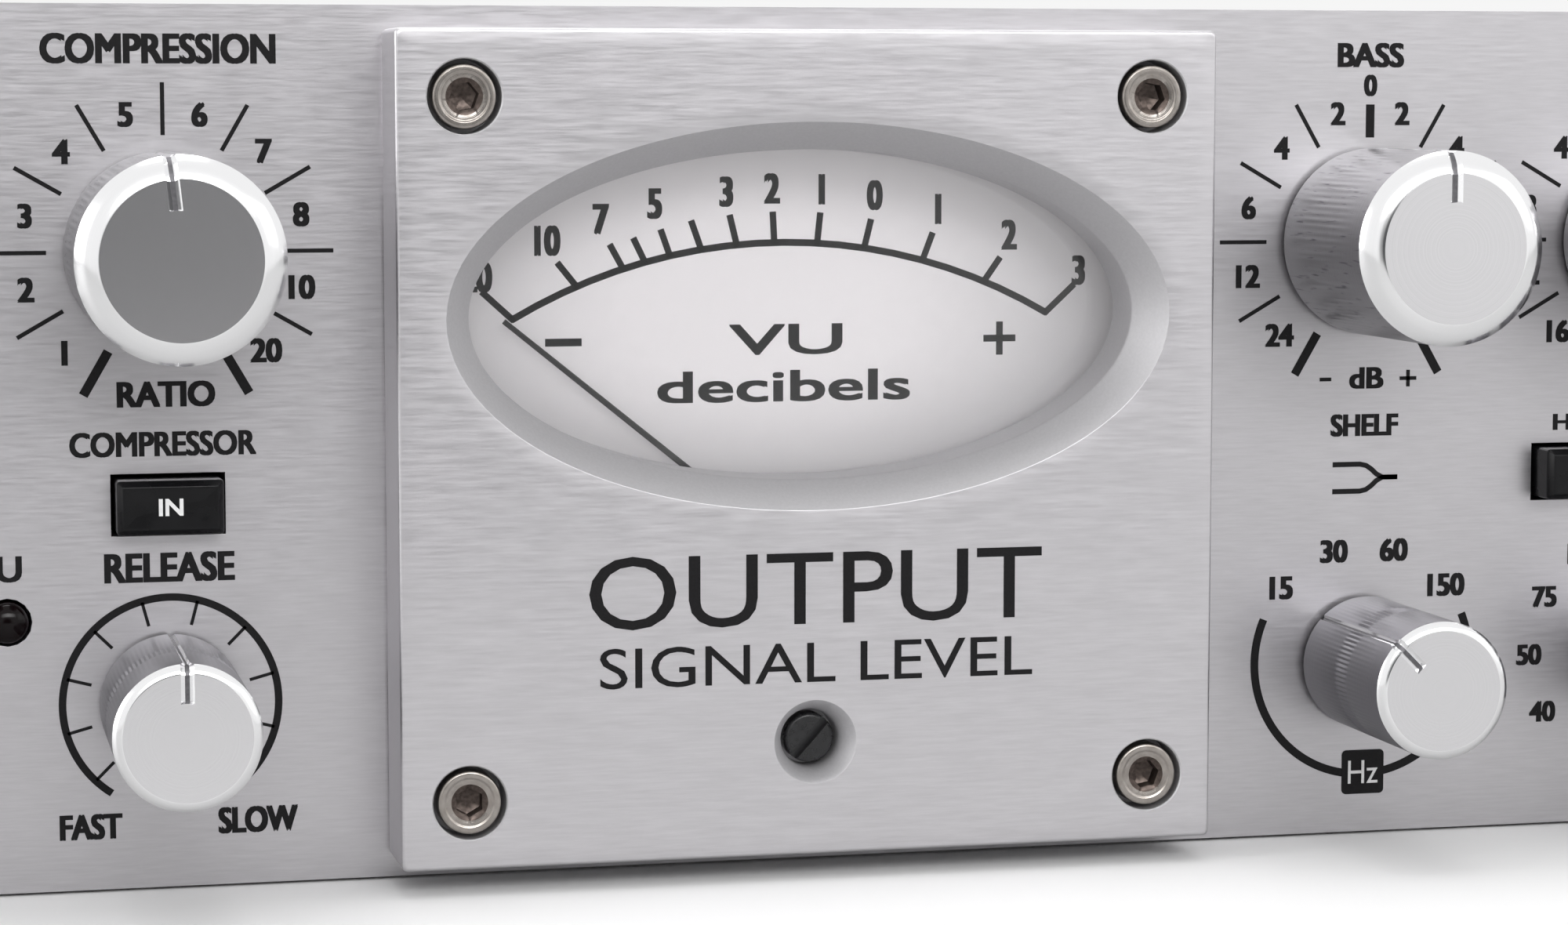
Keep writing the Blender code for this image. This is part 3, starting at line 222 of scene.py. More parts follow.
def brushed_aluminium(name, light, dark, roughness):
    """Aluminium drawn under an abrasive belt: noise stretched along X makes long fine streaks in
    its colour, its roughness and its relief."""
    made, tree, shader = finish(name, light, 1.0, roughness)
    place = node(tree, "ShaderNodeTexCoord").outputs["Object"]
    along = node(tree, "ShaderNodeMapping", {
        "Vector": place, "Scale": (1 / BRUSH_STROKE, 1 / BRUSH_PITCH, 1 / BRUSH_PITCH)})
    streaks = node(tree, "ShaderNodeTexNoise", {
        "Vector": along.outputs[0], "Scale": 1.0, "Detail": 3.0, "Roughness": 0.65})
    share = node(tree, "ShaderNodeMapRange", {
        "Value": streaks.outputs[0], "From Min": 0.25, "From Max": 0.75}).outputs[0]
    tree.links.new(node(tree, "ShaderNodeMix", {
        0: share, 6: colour(dark), 7: colour(light)}, data_type="RGBA").outputs[2],
        shader.inputs["Base Color"])
    tree.links.new(node(tree, "ShaderNodeMapRange", {
        "Value": streaks.outputs[0], "From Min": 0.3, "From Max": 0.7,
        "To Min": roughness - 0.04, "To Max": roughness + 0.05}).outputs[0], shader.inputs["Roughness"])
    tree.links.new(node(tree, "ShaderNodeBump", {
        "Height": streaks.outputs[0], "Strength": 0.5, "Distance": BRUSH_RELIEF}).outputs[0],
        shader.inputs["Normal"])
    return made


panel_aluminium = brushed_aluminium("brushed_panel_aluminium", "CFCDD0", "C2C0C3", 0.36)


def broken_edges(name, width, material, segments=2):
    """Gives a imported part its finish, and breaks its sharp edges by a small bevel."""
    part = frame["nodes"][name]
    part.data.materials.clear()
    part.data.materials.append(material)
    weld = part.modifiers.new("weld", "WELD")
    weld.merge_threshold = 0.000005
    flat = part.modifiers.new("flat_faces", "DECIMATE")
    flat.decimate_type = "DISSOLVE"
    flat.angle_limit = math.radians(1.0)
    edge = part.modifiers.new("edge", "BEVEL")
    edge.width = width
    edge.segments = segments
    edge.limit_method = "ANGLE"
    edge.angle_limit = math.radians(50)
    edge.harden_normals = False
    return part


broken_edges("front_panel", 0.25 * MM, panel_aluminium)
panel_low, panel_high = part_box("front_panel")
PANEL_FACE = panel_low.y

# ---------------------------------------------------------------------------------------------
# Meter plate: a thick square plate with an oval window, milled from aluminium and brushed. The
# window's mouth is a wide bevel with a fine bead-blasted skin, and four screw wells and a dished
# hole for the zero adjuster are sunk in its face.
# ---------------------------------------------------------------------------------------------


def grid_faces(rows, columns, wrap=True):
    """The quads between neighbouring rows of a grid of points, joined round each row if wrapped."""
    last = columns if wrap else columns - 1
    row, column = np.meshgrid(np.arange(rows - 1), np.arange(last), indexing="ij")
    start = row * columns + column
    side = row * columns + (column + 1) % columns
    return np.stack([start, side, side + columns, start + columns], -1).reshape(-1, 4)


def softened(corners, radii, steps=5):
    """A profile whose corners are rounded: each is a parabola between points a radius away."""
    corners = np.asarray(corners, float)
    radii = np.broadcast_to(radii, len(corners) - 2)
    share = np.linspace(0, 1, steps)[:, None]
    parts = [corners[:1]]
    for before, corner, after, radius in zip(corners[:-2], corners[1:-1], corners[2:], radii):
        start = corner + (before - corner) / np.linalg.norm(before - corner) * radius
        end = corner + (after - corner) / np.linalg.norm(after - corner) * radius
        curve = (1 - share) ** 2 * start + 2 * share * (1 - share) * corner + share ** 2 * end
        parts.append(curve if radius > 0 else corner[None])
    parts.append(corners[-1:])
    return np.concatenate(parts)


def lathe(profile, columns=64, waist=None):
    """A turned form: each (radius, height) of a profile goes round local z. A waist is a factor
    on the radius for each row and column, for forms that aren't quite round."""
    radius, height = np.asarray(profile, float).T
    angle = np.arange(columns) * math.tau / columns
    reach = radius[:, None] * (1.0 if waist is None else waist) * np.ones(columns)
    points = np.stack([reach * np.sin(angle), reach * np.cos(angle),
                       height[:, None] * np.ones(columns)], -1)
    return points.reshape(-1, 3), grid_faces(len(radius), columns)


def outline(half_width, half_height, corner, per_corner=6, per_side=1):
    """A rectangle with round corners as one closed ring of points, clockwise from the top right."""
    quarter = np.linspace(0, math.pi / 2, per_corner)
    ring = []
    for turn, (sx, sy) in enumerate(((1, 1), (1, -1), (-1, -1), (-1, 1))):
        angle = quarter + turn * math.pi / 2
        centre = np.array([sx * (half_width - corner), sy * (half_height - corner)])
        ring.append(centre + corner * np.stack([np.sin(angle), np.cos(angle)], -1))
    closed = []
    share = np.arange(1, per_side)[:, None] / per_side
    for arc, following in zip(ring, ring[1:] + ring[:1]):
        closed += [arc, arc[-1] + (following[0] - arc[-1]) * share]
    return np.concatenate(closed)


def mm(*points):
    """Points given in millimetres."""
    return np.array(points) * MM


def rings_at(rows):
    """The points of several rings of (x, y), each at its height, one ring after another."""
    return np.concatenate([np.column_stack([ring, np.full(len(ring), height)]) for ring, height in rows])


def middle(name):
    """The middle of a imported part's box, as X and Z."""
    low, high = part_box(name)
    return (low.x + high.x) / 2, (low.z + high.z) / 2


def front_place(x, y, z, clockwise=0.0):
    """Local z points out of the panel and local y up, turned clockwise as seen from the front."""
    c, s = math.cos(clockwise), math.sin(clockwise)
    return np.array([(c, s, 0, x), (0, 0, -1, y), (-s, c, 0, z), (0, 0, 0, 1)])


def rear_place(x, y, z):
    """Local z points out of the rear panel and local y up."""
    return np.array([(-1, 0, 0, x), (0, 0, 1, y), (0, 1, 0, z), (0, 0, 0, 1)], float)


def standing(x, y, z):
    """Local z points up."""
    return np.array([(1, 0, 0, x), (0, 1, 0, y), (0, 0, 1, z), (0, 0, 0, 1)], float)


def make_mesh(name, forms, place):
    """One mesh from several forms of (points, faces, material number), in local coordinates that
    stay in the attribute "local". Doubles are merged, and faces are turned outwards."""
    counts = np.cumsum([0] + [len(form[0]) for form in forms])
    local = np.concatenate([form[0] for form in forms])
    mesh = bpy.data.meshes.new(name)
    faces = [tuple(int(corner) + int(start) for corner in face)
             for form, start in zip(forms, counts) for face in form[1]]
    numbers = np.concatenate([np.broadcast_to(form[2] if len(form) > 2 else 0, len(form[1]))
                              for form in forms])
    world_points = local @ place[:3, :3].T + place[:3, 3]
    mesh.from_pydata(world_points.tolist(), [], faces)
    mesh.polygons.foreach_set("material_index", numbers.astype(np.int32))
    kept = mesh.attributes.new("local", "FLOAT_VECTOR", "POINT")
    kept.data.foreach_set("vector", local.astype(np.float32).ravel())
    work = bmesh.new()
    work.from_mesh(mesh)
    bmesh.ops.remove_doubles(work, verts=work.verts, dist=0.0000005)
    bmesh.ops.recalc_face_normals(work, faces=work.faces)
    work.to_mesh(mesh)
    work.free()
    return mesh


def make_piece(name, forms, place, materials, body="chassis", stands_for=(), crease=32):
    """A finished piece: smooth shading with sharp creases, riding on its body."""
    mesh = make_mesh(name, forms, place)
    for material in materials:
        mesh.materials.append(material)
    mesh.shade_smooth()
    mesh.set_sharp_from_angle(angle=math.radians(crease))
    made = bpy.data.objects.new(name, mesh)
    scene.collection.objects.link(made)
    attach(made, body)
    if stands_for:
        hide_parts(*stands_for)
    return made


def cut(piece, forms, place, crease=32):
    """Cuts closed forms out of a piece with an exact Boolean, and keeps the result as its mesh."""
    tool = bpy.data.objects.new("tool", make_mesh("tool", forms, place))
    scene.collection.objects.link(tool)
    for material in piece.data.materials:
        tool.data.materials.append(material)
    step = piece.modifiers.new("cut", "BOOLEAN")
    step.operation = "DIFFERENCE"
    step.solver = "EXACT"
    step.object = tool
    seen = piece.evaluated_get(bpy.context.evaluated_depsgraph_get())
    result = bpy.data.meshes.new_from_object(seen)
    piece.modifiers.clear()
    old = piece.data
    piece.data = result
    result.name = old.name
    result.shade_smooth()
    result.set_sharp_from_angle(angle=math.radians(crease))
    bpy.data.meshes.remove(old)
    bpy.data.objects.remove(tool)


plate_aluminium = brushed_aluminium("brushed_plate_aluminium", "D6D4D7", "CAC8CB", 0.35)

# Milled aluminium after fine bead blasting: soft and even, with no streaks.
blasted_aluminium, tree, shader = finish("blasted_aluminium", "CECDCF", 1.0, 0.64)
mottle(tree, shader, 3500.0, "C8C7C9", "D3D2D4", relief=(0.25, 0.01 * MM), space="Object")

plate_low, plate_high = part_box("meter_plate")
PLATE_FACE = plate_low.y
PLATE_DEPTH = plate_high.y - plate_low.y
PLATE_CENTRE_Z = (plate_low.z + plate_high.z) / 2
PLATE_HALF = ((plate_high.x - plate_low.x) / 2, (plate_high.z - plate_low.z) / 2)
PLATE_CORNER = 0.6 * MM
PLATE_EDGE = 0.4 * MM
WINDOW_Z = 57.0 * MM
WINDOW_HALF = (34.5 * MM, 16.7 * MM)
BEVEL_WIDTH = 2.8 * MM
BEVEL_DEPTH = 3.9 * MM
ADJUSTER_Z = next(j["pos_m"][2] for j in frame["joints"] if j["name"] == "zero_adjust_turn")


def plate_form():
    """Rings run from the window's rear edge out over the bevel and face to the plate's rim, and
    back behind it. A ring is an ellipse by the window, a rounded rectangle by the rim."""
    rim = outline(*PLATE_HALF, PLATE_CORNER, per_corner=5, per_side=56)
    lift = WINDOW_Z - PLATE_CENTRE_Z
    angle = np.arctan2((rim[:, 1] - lift) / WINDOW_HALF[1], rim[:, 0] / WINDOW_HALF[0])
    around = np.stack([np.cos(angle), np.sin(angle)], -1)

    def ellipse(grown, depth):
        ring = around * (np.array(WINDOW_HALF) + grown) + (0, lift)
        return np.column_stack([ring, np.full(len(ring), -depth)])

    def rectangle(inset, depth):
        small = outline(PLATE_HALF[0] - inset, PLATE_HALF[1] - inset, PLATE_CORNER, 5, 56)
        return np.column_stack([small, np.full(len(small), -depth)])

    mouth = softened([(0, PLATE_DEPTH), (0, BEVEL_DEPTH), (BEVEL_WIDTH, 0), (BEVEL_WIDTH + 2 * MM, 0)],
                     [0.25 * MM, 0.04 * MM], 4)
    edge = softened([(2 * MM, 0), (0, 0), (0, PLATE_DEPTH - PLATE_EDGE), (PLATE_EDGE, PLATE_DEPTH)],
                    [PLATE_EDGE, 0], 6)
    rings = [ellipse(*point) for point in mouth] + [rectangle(*point) for point in edge]
    rings.append(rings[0])
    numbers = np.zeros((len(rings) - 1, len(rim)), int)
    numbers[:6] = 1
    return np.concatenate(rings), grid_faces(len(rings), len(rim)), numbers.ravel()


plate = make_piece("meter_plate_milled", [plate_form()], front_place(0, PLATE_FACE, PLATE_CENTRE_Z),
                   [plate_aluminium, blasted_aluminium], stands_for=["meter_plate"])

WELL_RADIUS = 3.70 * MM
WELL_DEPTH = 4.5 * MM
BROKEN = 0.12 * MM
well = [(0, 1 * MM), (WELL_RADIUS + BROKEN + 1 * MM, 1 * MM), (WELL_RADIUS, -BROKEN),
        (WELL_RADIUS, -WELL_DEPTH),
        (2.3 * MM, -WELL_DEPTH), (2.3 * MM, -PLATE_DEPTH - 1 * MM), (0, -PLATE_DEPTH - 1 * MM)]
screw_boxes = [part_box(f"plate_screw_{number}") for number in (1, 2, 3, 4)]
wells = []
for number in (1, 2, 3, 4):
    x, z = middle(f"plate_screw_{number}")
    points, faces = lathe(well, 64)
    wells.append((points + (x, z - PLATE_CENTRE_Z, 0), faces, 1))
cut(plate, wells, front_place(0, PLATE_FACE, PLATE_CENTRE_Z))

DISH_RADIUS = 4.3 * MM
dish = softened([(0, 1 * MM), (DISH_RADIUS + 0.9 * MM, 1 * MM), (DISH_RADIUS - 0.15 * MM, -0.15 * MM),
                 (3.0 * MM, -2.5 * MM), (2.9 * MM, -5.1 * MM), (2.2 * MM, -5.1 * MM),
                 (2.2 * MM, -PLATE_DEPTH - 1 * MM), (0, -PLATE_DEPTH - 1 * MM)],
                [0, 0, 0.6 * MM, 0, 0, 0], 5)
cut(plate, [(*lathe(dish, 72), 1)], front_place(0, PLATE_FACE, ADJUSTER_Z))

# ---------------------------------------------------------------------------------------------
# Plate screws: four plain steel cap screws, turned, with a hexagon socket. They sit just under
# the plate's face in wells half a millimetre wider than their heads.
# ---------------------------------------------------------------------------------------------

# Bright steel with fine turning rings round its axis and a faint brownish mottle.
turned_steel, tree, shader = finish("turned_screw_steel", "A8A29D", 1.0, 0.26)
local = node(tree, "ShaderNodeAttribute", attribute_name="local").outputs["Vector"]
flat_place = node(tree, "ShaderNodeVectorMath", {0: local, 1: (1, 1, 0)}, operation="MULTIPLY").outputs[0]
from_axis = node(tree, "ShaderNodeVectorMath", {0: flat_place}, operation="LENGTH").outputs["Value"]
rings = node(tree, "ShaderNodeTexNoise", {"W": from_axis, "Scale": 1 / (0.12 * MM), "Detail": 2.0},
             noise_dimensions="1D").outputs[0]
tree.links.new(node(tree, "ShaderNodeBump", {"Height": rings, "Strength": 0.5, "Distance": 0.02 * MM}
                    ).outputs[0], shader.inputs["Normal"])
mottle(tree, shader, 900.0, "857D76", "BDB8B3", detail=3.0)

# The same steel in a socket's depth, painted dark and brownish as painted shade in the recess.
socket_painted_shade_steel, tree, shader = finish("oiled_socket_steel", "3A3230", 0.8, 0.30)
mottle(tree, shader, 2600.0, "120E0C", "6A5E58", detail=3.0)

HEAD_RADIUS = 3.2 * MM
HEAD_HEIGHT = 4.0 * MM
HEX_RADIUS = 1.5 * MM
HEX_DEPTH = 2.2 * MM
SHANK_RADIUS = 2.0 * MM


def hexagon(columns, share):
    """A factor on the radius that turns a circle into a hexagon as share goes from 0 to 1."""
    angle = np.mod(np.arange(columns) * math.tau / columns, math.tau / 6) - math.tau / 12
    return 1 + share[:, None] * (math.cos(math.tau / 12) / np.cos(angle) - 1)


for number, (low, high) in enumerate(screw_boxes, start=1):
    crown = softened([(HEX_RADIUS + 0.35 * MM, -0.10 * MM), (2.35 * MM, -0.10 * MM), (2.55 * MM, 0),
                      (HEAD_RADIUS, 0), (HEAD_RADIUS, -HEAD_HEIGHT), (SHANK_RADIUS, -HEAD_HEIGHT)],
                     [0.08 * MM, 0.08 * MM, 0.35 * MM, 0.1 * MM], 6)
    bore = np.array([(0, -HEX_DEPTH - 0.5 * MM), (HEX_RADIUS, -HEX_DEPTH), (HEX_RADIUS, -0.35 * MM),
                     (HEX_RADIUS + 0.35 * MM, -0.10 * MM)])
    tail = np.array([(SHANK_RADIUS, -HEAD_HEIGHT), (SHANK_RADIUS, low.y - high.y + 0.3 * MM),
                     (SHANK_RADIUS - 0.3 * MM, low.y - high.y), (0, low.y - high.y)])
    round_share = np.array([1.0, 1.0, 1.0, 0.0])
    make_piece(f"plate_screw_{number}_turned",
               [(*lathe(bore, 72, hexagon(72, round_share)), 1), (*lathe(crown, 72), 0),
                (*lathe(tail, 72), 0)],
               front_place((low.x + high.x) / 2, low.y, (low.z + high.z) / 2, 0.35 * number),
               [turned_steel, socket_painted_shade_steel], stands_for=[f"plate_screw_{number}"])

# ---------------------------------------------------------------------------------------------
# Zero adjuster: a black moulded screw with a driver slot, deep in its dish. It turns the hair
# spring's anchor and so brings the needle to its rest mark.
# ---------------------------------------------------------------------------------------------

# Black acetal: dark, slightly waxy, with pale rub marks where a driver has been.
black_acetal, tree, shader = finish("black_acetal", "101012", 0.0, 0.32, ior=1.48)
mottle(tree, shader, 1400.0, "0B0B0C", "232325", detail=4.0, wear=(0.35, 0.75, 0.22, 0.5))

low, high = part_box("zero_adjust_screw")
reach = high.y - low.y
head = softened([(0, 0.12 * MM), (1.6 * MM, 0), (2.55 * MM, 0), (2.55 * MM, -2.2 * MM), (1.5 * MM, -2.2 * MM),
                 (1.5 * MM, -reach), (0, -reach)], [0.4 * MM, 0.45 * MM, 0.1 * MM, 0, 0.2 * MM], 6)
adjuster = make_piece("zero_adjust_screw_moulded", [(*lathe(head, 64), 0)],
                      front_place(0, low.y, ADJUSTER_Z), [black_acetal], body="zero_adjust_screw",
                      stands_for=["zero_adjust_screw"])
blade_ring = outline(0.45 * MM, 4 * MM, 0.05 * MM, 3)
blade_rows = [(blade_ring * share, depth)
              for share, depth in ((0, -0.9 * MM), (1, -0.9 * MM), (1, 1 * MM), (0, 1 * MM))]
cut(adjuster, [(rings_at(blade_rows), grid_faces(4, len(blade_ring)), 0)],
    front_place(0, low.y, ADJUSTER_Z, math.radians(42)))

# ---------------------------------------------------------------------------------------------
# Meter: a moving-coil level meter. A black moulded case, a clear acrylic lens, a back-lit white
# card with its printed scale, and a thin black needle on a pivot below the window.
# ---------------------------------------------------------------------------------------------

# Matt black ABS with a fine spark-eroded grain.
grained_abs, tree, shader = finish("grained_black_abs", "161617", 0.0, 0.5, ior=1.53)
mottle(tree, shader, 2200.0, "111112", "1E1E20", relief=(0.3, 0.03 * MM), space="Object")
broken_edges("meter_case", 0.2 * MM, grained_abs)

# Cast acrylic, polished: clear, with only a faint reflection of the room.
clear_acrylic, tree, shader = finish("clear_acrylic", "FDFDFD", 0.0, 0.02, ior=1.49, transmission_weight=1.0,
                                     specular_ior_level=0.15)
haze = node(tree, "ShaderNodeTexNoise", {
    "Vector": node(tree, "ShaderNodeTexCoord").outputs["Object"], "Scale": 60.0}).outputs[0]
tree.links.new(node(tree, "ShaderNodeMapRange", {"Value": haze, "To Min": 0.0, "To Max": 0.03}).outputs[0],
               shader.inputs["Roughness"])
lens = frame["nodes"]["meter_lens"]
lens.data.materials.clear()
lens.data.materials.append(clear_acrylic)

# White card lit from behind: it glows in its middle and falls off towards the window's rim, and its paper
# colour is painted darker towards the rim as painted shade.
lit_card, tree, shader = finish("back_lit_card", "E6E3E5", 0.0, 0.6, ior=1.45, emission_strength=0.31)
place = node(tree, "ShaderNodeTexCoord").outputs["Object"]
GLOW_HALF = (44 * MM, 24 * MM)
GLOW_CENTRE = (-2.2 * MM, WINDOW_Z + 0.5 * MM)
oval = node(tree, "ShaderNodeMapping", {
    "Vector": place, "Scale": (1 / GLOW_HALF[0], 0, 1 / GLOW_HALF[1]),
    "Location": (-GLOW_CENTRE[0] / GLOW_HALF[0], 0, -GLOW_CENTRE[1] / GLOW_HALF[1])})
spread = node(tree, "ShaderNodeVectorMath", {0: oval.outputs[0]}, operation="LENGTH").outputs["Value"]
fall = node(tree, "ShaderNodeMapRange", {"Value": spread, "From Min": 0.25, "From Max": 1.0},
            interpolation_type="SMOOTHSTEP").outputs[0]
fibres = node(tree, "ShaderNodeTexNoise", {"Vector": place, "Scale": 700.0, "Detail": 3.0}).outputs[0]
paper = node(tree, "ShaderNodeMix", {0: fibres, 6: colour("D8D5D7"), 7: colour("E3E0E2")}, data_type="RGBA")
# painted shade: the paper's colour darkens towards the window's rim.
shade = node(tree, "ShaderNodeMix", {0: fall, 6: paper.outputs[2], 7: colour("BCBBBD")}, data_type="RGBA")
tree.links.new(shade.outputs[2], shader.inputs["Base Color"])
tree.links.new(node(tree, "ShaderNodeMix", {0: fall, 6: colour("FCF7FA"), 7: colour("AEABAD")},
                    data_type="RGBA").outputs[2], shader.inputs["Emission Color"])
card = frame["nodes"]["meter_dial"]
card.data.materials.clear()
card.data.materials.append(lit_card)

# Screen-printing ink: black, nearly matt, a film a few hundredths of a millimetre thick.
black_ink, tree, shader = finish("black_screen_ink", "0D0C0E", 0.0, 0.42, ior=1.5, specular_ior_level=0.2)
mottle(tree, shader, 4000.0, "080709", "171618", relief=(0.2, 0.005 * MM), space="Object")

INK = 0.04 * MM


def stripe(path, width, depth=INK):
    """A printed line: a flat rectangular section carried along a path of (x, y) points."""
    path = np.asarray(path, float)
    along = np.gradient(path, axis=0)
    along /= np.linalg.norm(along, axis=1)[:, None]
    aside = np.stack([-along[:, 1], along[:, 0]], -1) * width / 2
    rows = []
    for side, height in ((-1, 0.0), (-1, depth), (1, depth), (1, 0.0)):
        rows.append(np.column_stack([path + side * aside, np.full(len(path), height)]))
    points = np.stack(rows, 1).reshape(-1, 3)
    ends = np.array([(0, 1, 2, 3), (len(points) - 1, len(points) - 2, len(points) - 3, len(points) - 4)])
    return points, np.concatenate([grid_faces(len(path), 4), ends])


def around(centre, radius, start, end):
    """Points on an arc; angles go clockwise from straight up, in degrees."""
    count = max(2, int(abs(end - start) / 3) + 1)
    angle = np.radians(np.linspace(start, end, count))
    return np.stack([centre[0] + radius * np.sin(angle), centre[1] + radius * np.cos(angle)], -1)


def tick(centre, angle, inner, outer, width, lean=None):
    """A straight mark from one radius to another, or of that length along another direction."""
    start = around(centre, inner, angle, angle)[0]
    if lean is None:
        return stripe([start, around(centre, outer, angle, angle)[0]], width)
    return stripe([start, around(start, outer - inner, lean, lean)[0]], width)


drawn = {}


def letters(text, x, y, height, width=None, weight=0.022, squeeze=0.9):
    """Solid lettering of a given height, centred on a point, from the built-in typeface. Its
    weight is a share of its height by which it is struck again to each side."""
    if text not in drawn:
        line = bpy.data.curves.new("lettering", "FONT")
        line.body = text
        line.extrude = 0.5
        line.resolution_u = 4
        holder = bpy.data.objects.new("lettering", line)
        scene.collection.objects.link(holder)
        seen = holder.evaluated_get(bpy.context.evaluated_depsgraph_get())
        flat = bpy.data.meshes.new_from_object(seen)
        points = np.array([tuple(vertex.co) for vertex in flat.vertices])
        faces = [tuple(face.vertices) for face in flat.polygons]
        bpy.data.objects.remove(holder)
        bpy.data.curves.remove(line)
        bpy.data.meshes.remove(flat)
        low, high = points.min(0), points.max(0)
        drawn[text] = ((points - (low + high) / 2) / (high - low), faces, (high - low)[0] / (high - low)[1])
    unit, faces, aspect = drawn[text]
    shift = weight * height
    if width is None:
        width = height * aspect * squeeze + 2 * shift
    once = unit * (width - 2 * shift, height - shift, INK) + (x, y, INK / 2)
    strikes = [once + (side * shift, up * shift / 2, rise * INK)
               for side, up, rise in ((0, 0, 0), (-1, -1, 0.02), (-1, 1, 0.04), (1, -1, 0.06), (1, 1, 0.08))]
    return np.concatenate(strikes), [tuple(corner + strike * len(once) for corner in face)
                                     for strike in range(len(strikes)) for face in faces]


def boxed(text, left, top, right, bottom, weight=0.022):
    """Lettering that fills a rectangle given in millimetres."""
    return letters(text, (left + right) / 2 * MM, (top + bottom) / 2 * MM, (top - bottom) * MM,
                   (right - left) * MM, weight)


def printed(name, forms, y, ink=None, body="chassis"):
    """Forms whose x and y are the panel's X and Z, printed on a plane that faces -Y."""
    return make_piece(name, forms, front_place(0, y, 0), [ink or black_ink], body=body, crease=20)


SCALE_CENTRE = (0, 7.14 * MM)
SCALE_RADIUS = 56.83 * MM
# position on the scale's arc, length in millimetres, lean from upright, number
SCALE_MARKS = ((-30.0, 4.3, -47.7, "20"), (-22.5, 3.2, -38.9, "10"), (-17.3, 2.9, -28.9, "7"),
               (-14.9, 2.8, -26.0, ""), (-12.2, 2.9, -19.6, "5"), (-8.8, 3.2, -19.6, ""),
               (-5.0, 3.2, -13.6, "3"), (-1.0, 3.2, -2.9, "2"), (3.6, 3.2, 6.0, "1"), (8.7, 3.1, 14.0, "0"),
               (15.2, 3.1, 20.9, "1"), (22.3, 3.1, 35.2, "2"), (29.9, 4.3, 47.2, "3"))
NUMBER_GAP = 5.6 * MM
END_GAP = 5.7 * MM
NUMBER_LEAN = 0.85     # of the mark's own lean
NUMBER_HEIGHT = 3.15 * MM
scale = [stripe(around(SCALE_CENTRE, SCALE_RADIUS, -30.2, 30.1), 0.72 * MM)]
for angle, length, lean, number in SCALE_MARKS:
    scale.append(tick(SCALE_CENTRE, angle, SCALE_RADIUS - 0.2 * MM, SCALE_RADIUS + length * MM, 0.68 * MM,
                      lean))
    if number:
        foot = around(SCALE_CENTRE, SCALE_RADIUS, angle, angle)[0]
        x, z = around(foot, NUMBER_GAP if abs(angle) < 25 else END_GAP, NUMBER_LEAN * lean,
                      NUMBER_LEAN * lean)[0]
        scale.append(letters(number, x, z, NUMBER_HEIGHT, squeeze=0.68, weight=0.06))
scale += [boxed("VU", -5.8, 55.5, 6.3, 52.3, 0.035), boxed("decibels", -13.4, 50.7, 13.6, 47.4, 0.045)]
scale += [stripe([(-25.1 * MM, 53.9 * MM), (-21.3 * MM, 53.9 * MM)], 0.8 * MM),
          stripe([(21.6 * MM, 53.7 * MM), (25.1 * MM, 53.7 * MM)], 0.72 * MM),
          stripe([(23.35 * MM, 51.95 * MM), (23.35 * MM, 55.45 * MM)], 0.72 * MM)]
dial_low, dial_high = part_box("meter_dial")
printed("meter_scale", scale, dial_low.y)

# Black enamel on a needle of flattened aluminium tube.
needle_enamel, tree, shader = finish("needle_enamel", "0A0A0A", 0.0, 0.35, ior=1.52)
mottle(tree, shader, 800.0, "060606", "141414")
needle_joint = next(j for j in frame["joints"] if j["name"] == "needle_swing")
NEEDLE_REST = math.radians(-51)
NEEDLE_REACH = 38.0 * MM
BLADE_ROWS = 24
share = np.linspace(0, 1, BLADE_ROWS)
blade_half = (0.36 - 0.08 * share) * MM
section = np.array([(-1, 0), (-0.6, 1), (0.6, 1), (1, 0), (0.6, -1), (-0.6, -1)])
blade = np.stack([blade_half[:, None] * section[:, 0],
                  np.repeat((-4.9 * MM + (NEEDLE_REACH + 4.9 * MM) * share)[:, None], 6, 1),
                  0.16 * MM * section[:, 1] - 0.2 * MM + np.zeros((BLADE_ROWS, 1))], -1)
last = 6 * (BLADE_ROWS - 1)
caps = np.array([(0, 1, 2, 5), (2, 3, 4, 5), (last, last + 3, last + 2, last + 1),
                 (last, last + 5, last + 4, last + 3)])
hub = softened([(0, 0), (2.2 * MM, 0), (2.2 * MM, -6 * MM), (0, -6 * MM)], 0.3 * MM, 4)
blade_faces = np.concatenate([grid_faces(BLADE_ROWS, 6), caps])
make_piece("meter_needle_blade", [(blade.reshape(-1, 3), blade_faces, 0), (*lathe(hub, 40), 0)],
           front_place(0, needle_joint["pos_m"][1], needle_joint["pos_m"][2], NEEDLE_REST),
           [needle_enamel], body="meter_needle", stands_for=["meter_needle"])

# ---------------------------------------------------------------------------------------------
# Knobs: turned from solid aluminium, with a satin face, a wide polished rim, a finely knurled
# band and a milled pointer groove that runs over the rim and down the side. The face and side
# carry the lathe's fine rings.
# ---------------------------------------------------------------------------------------------


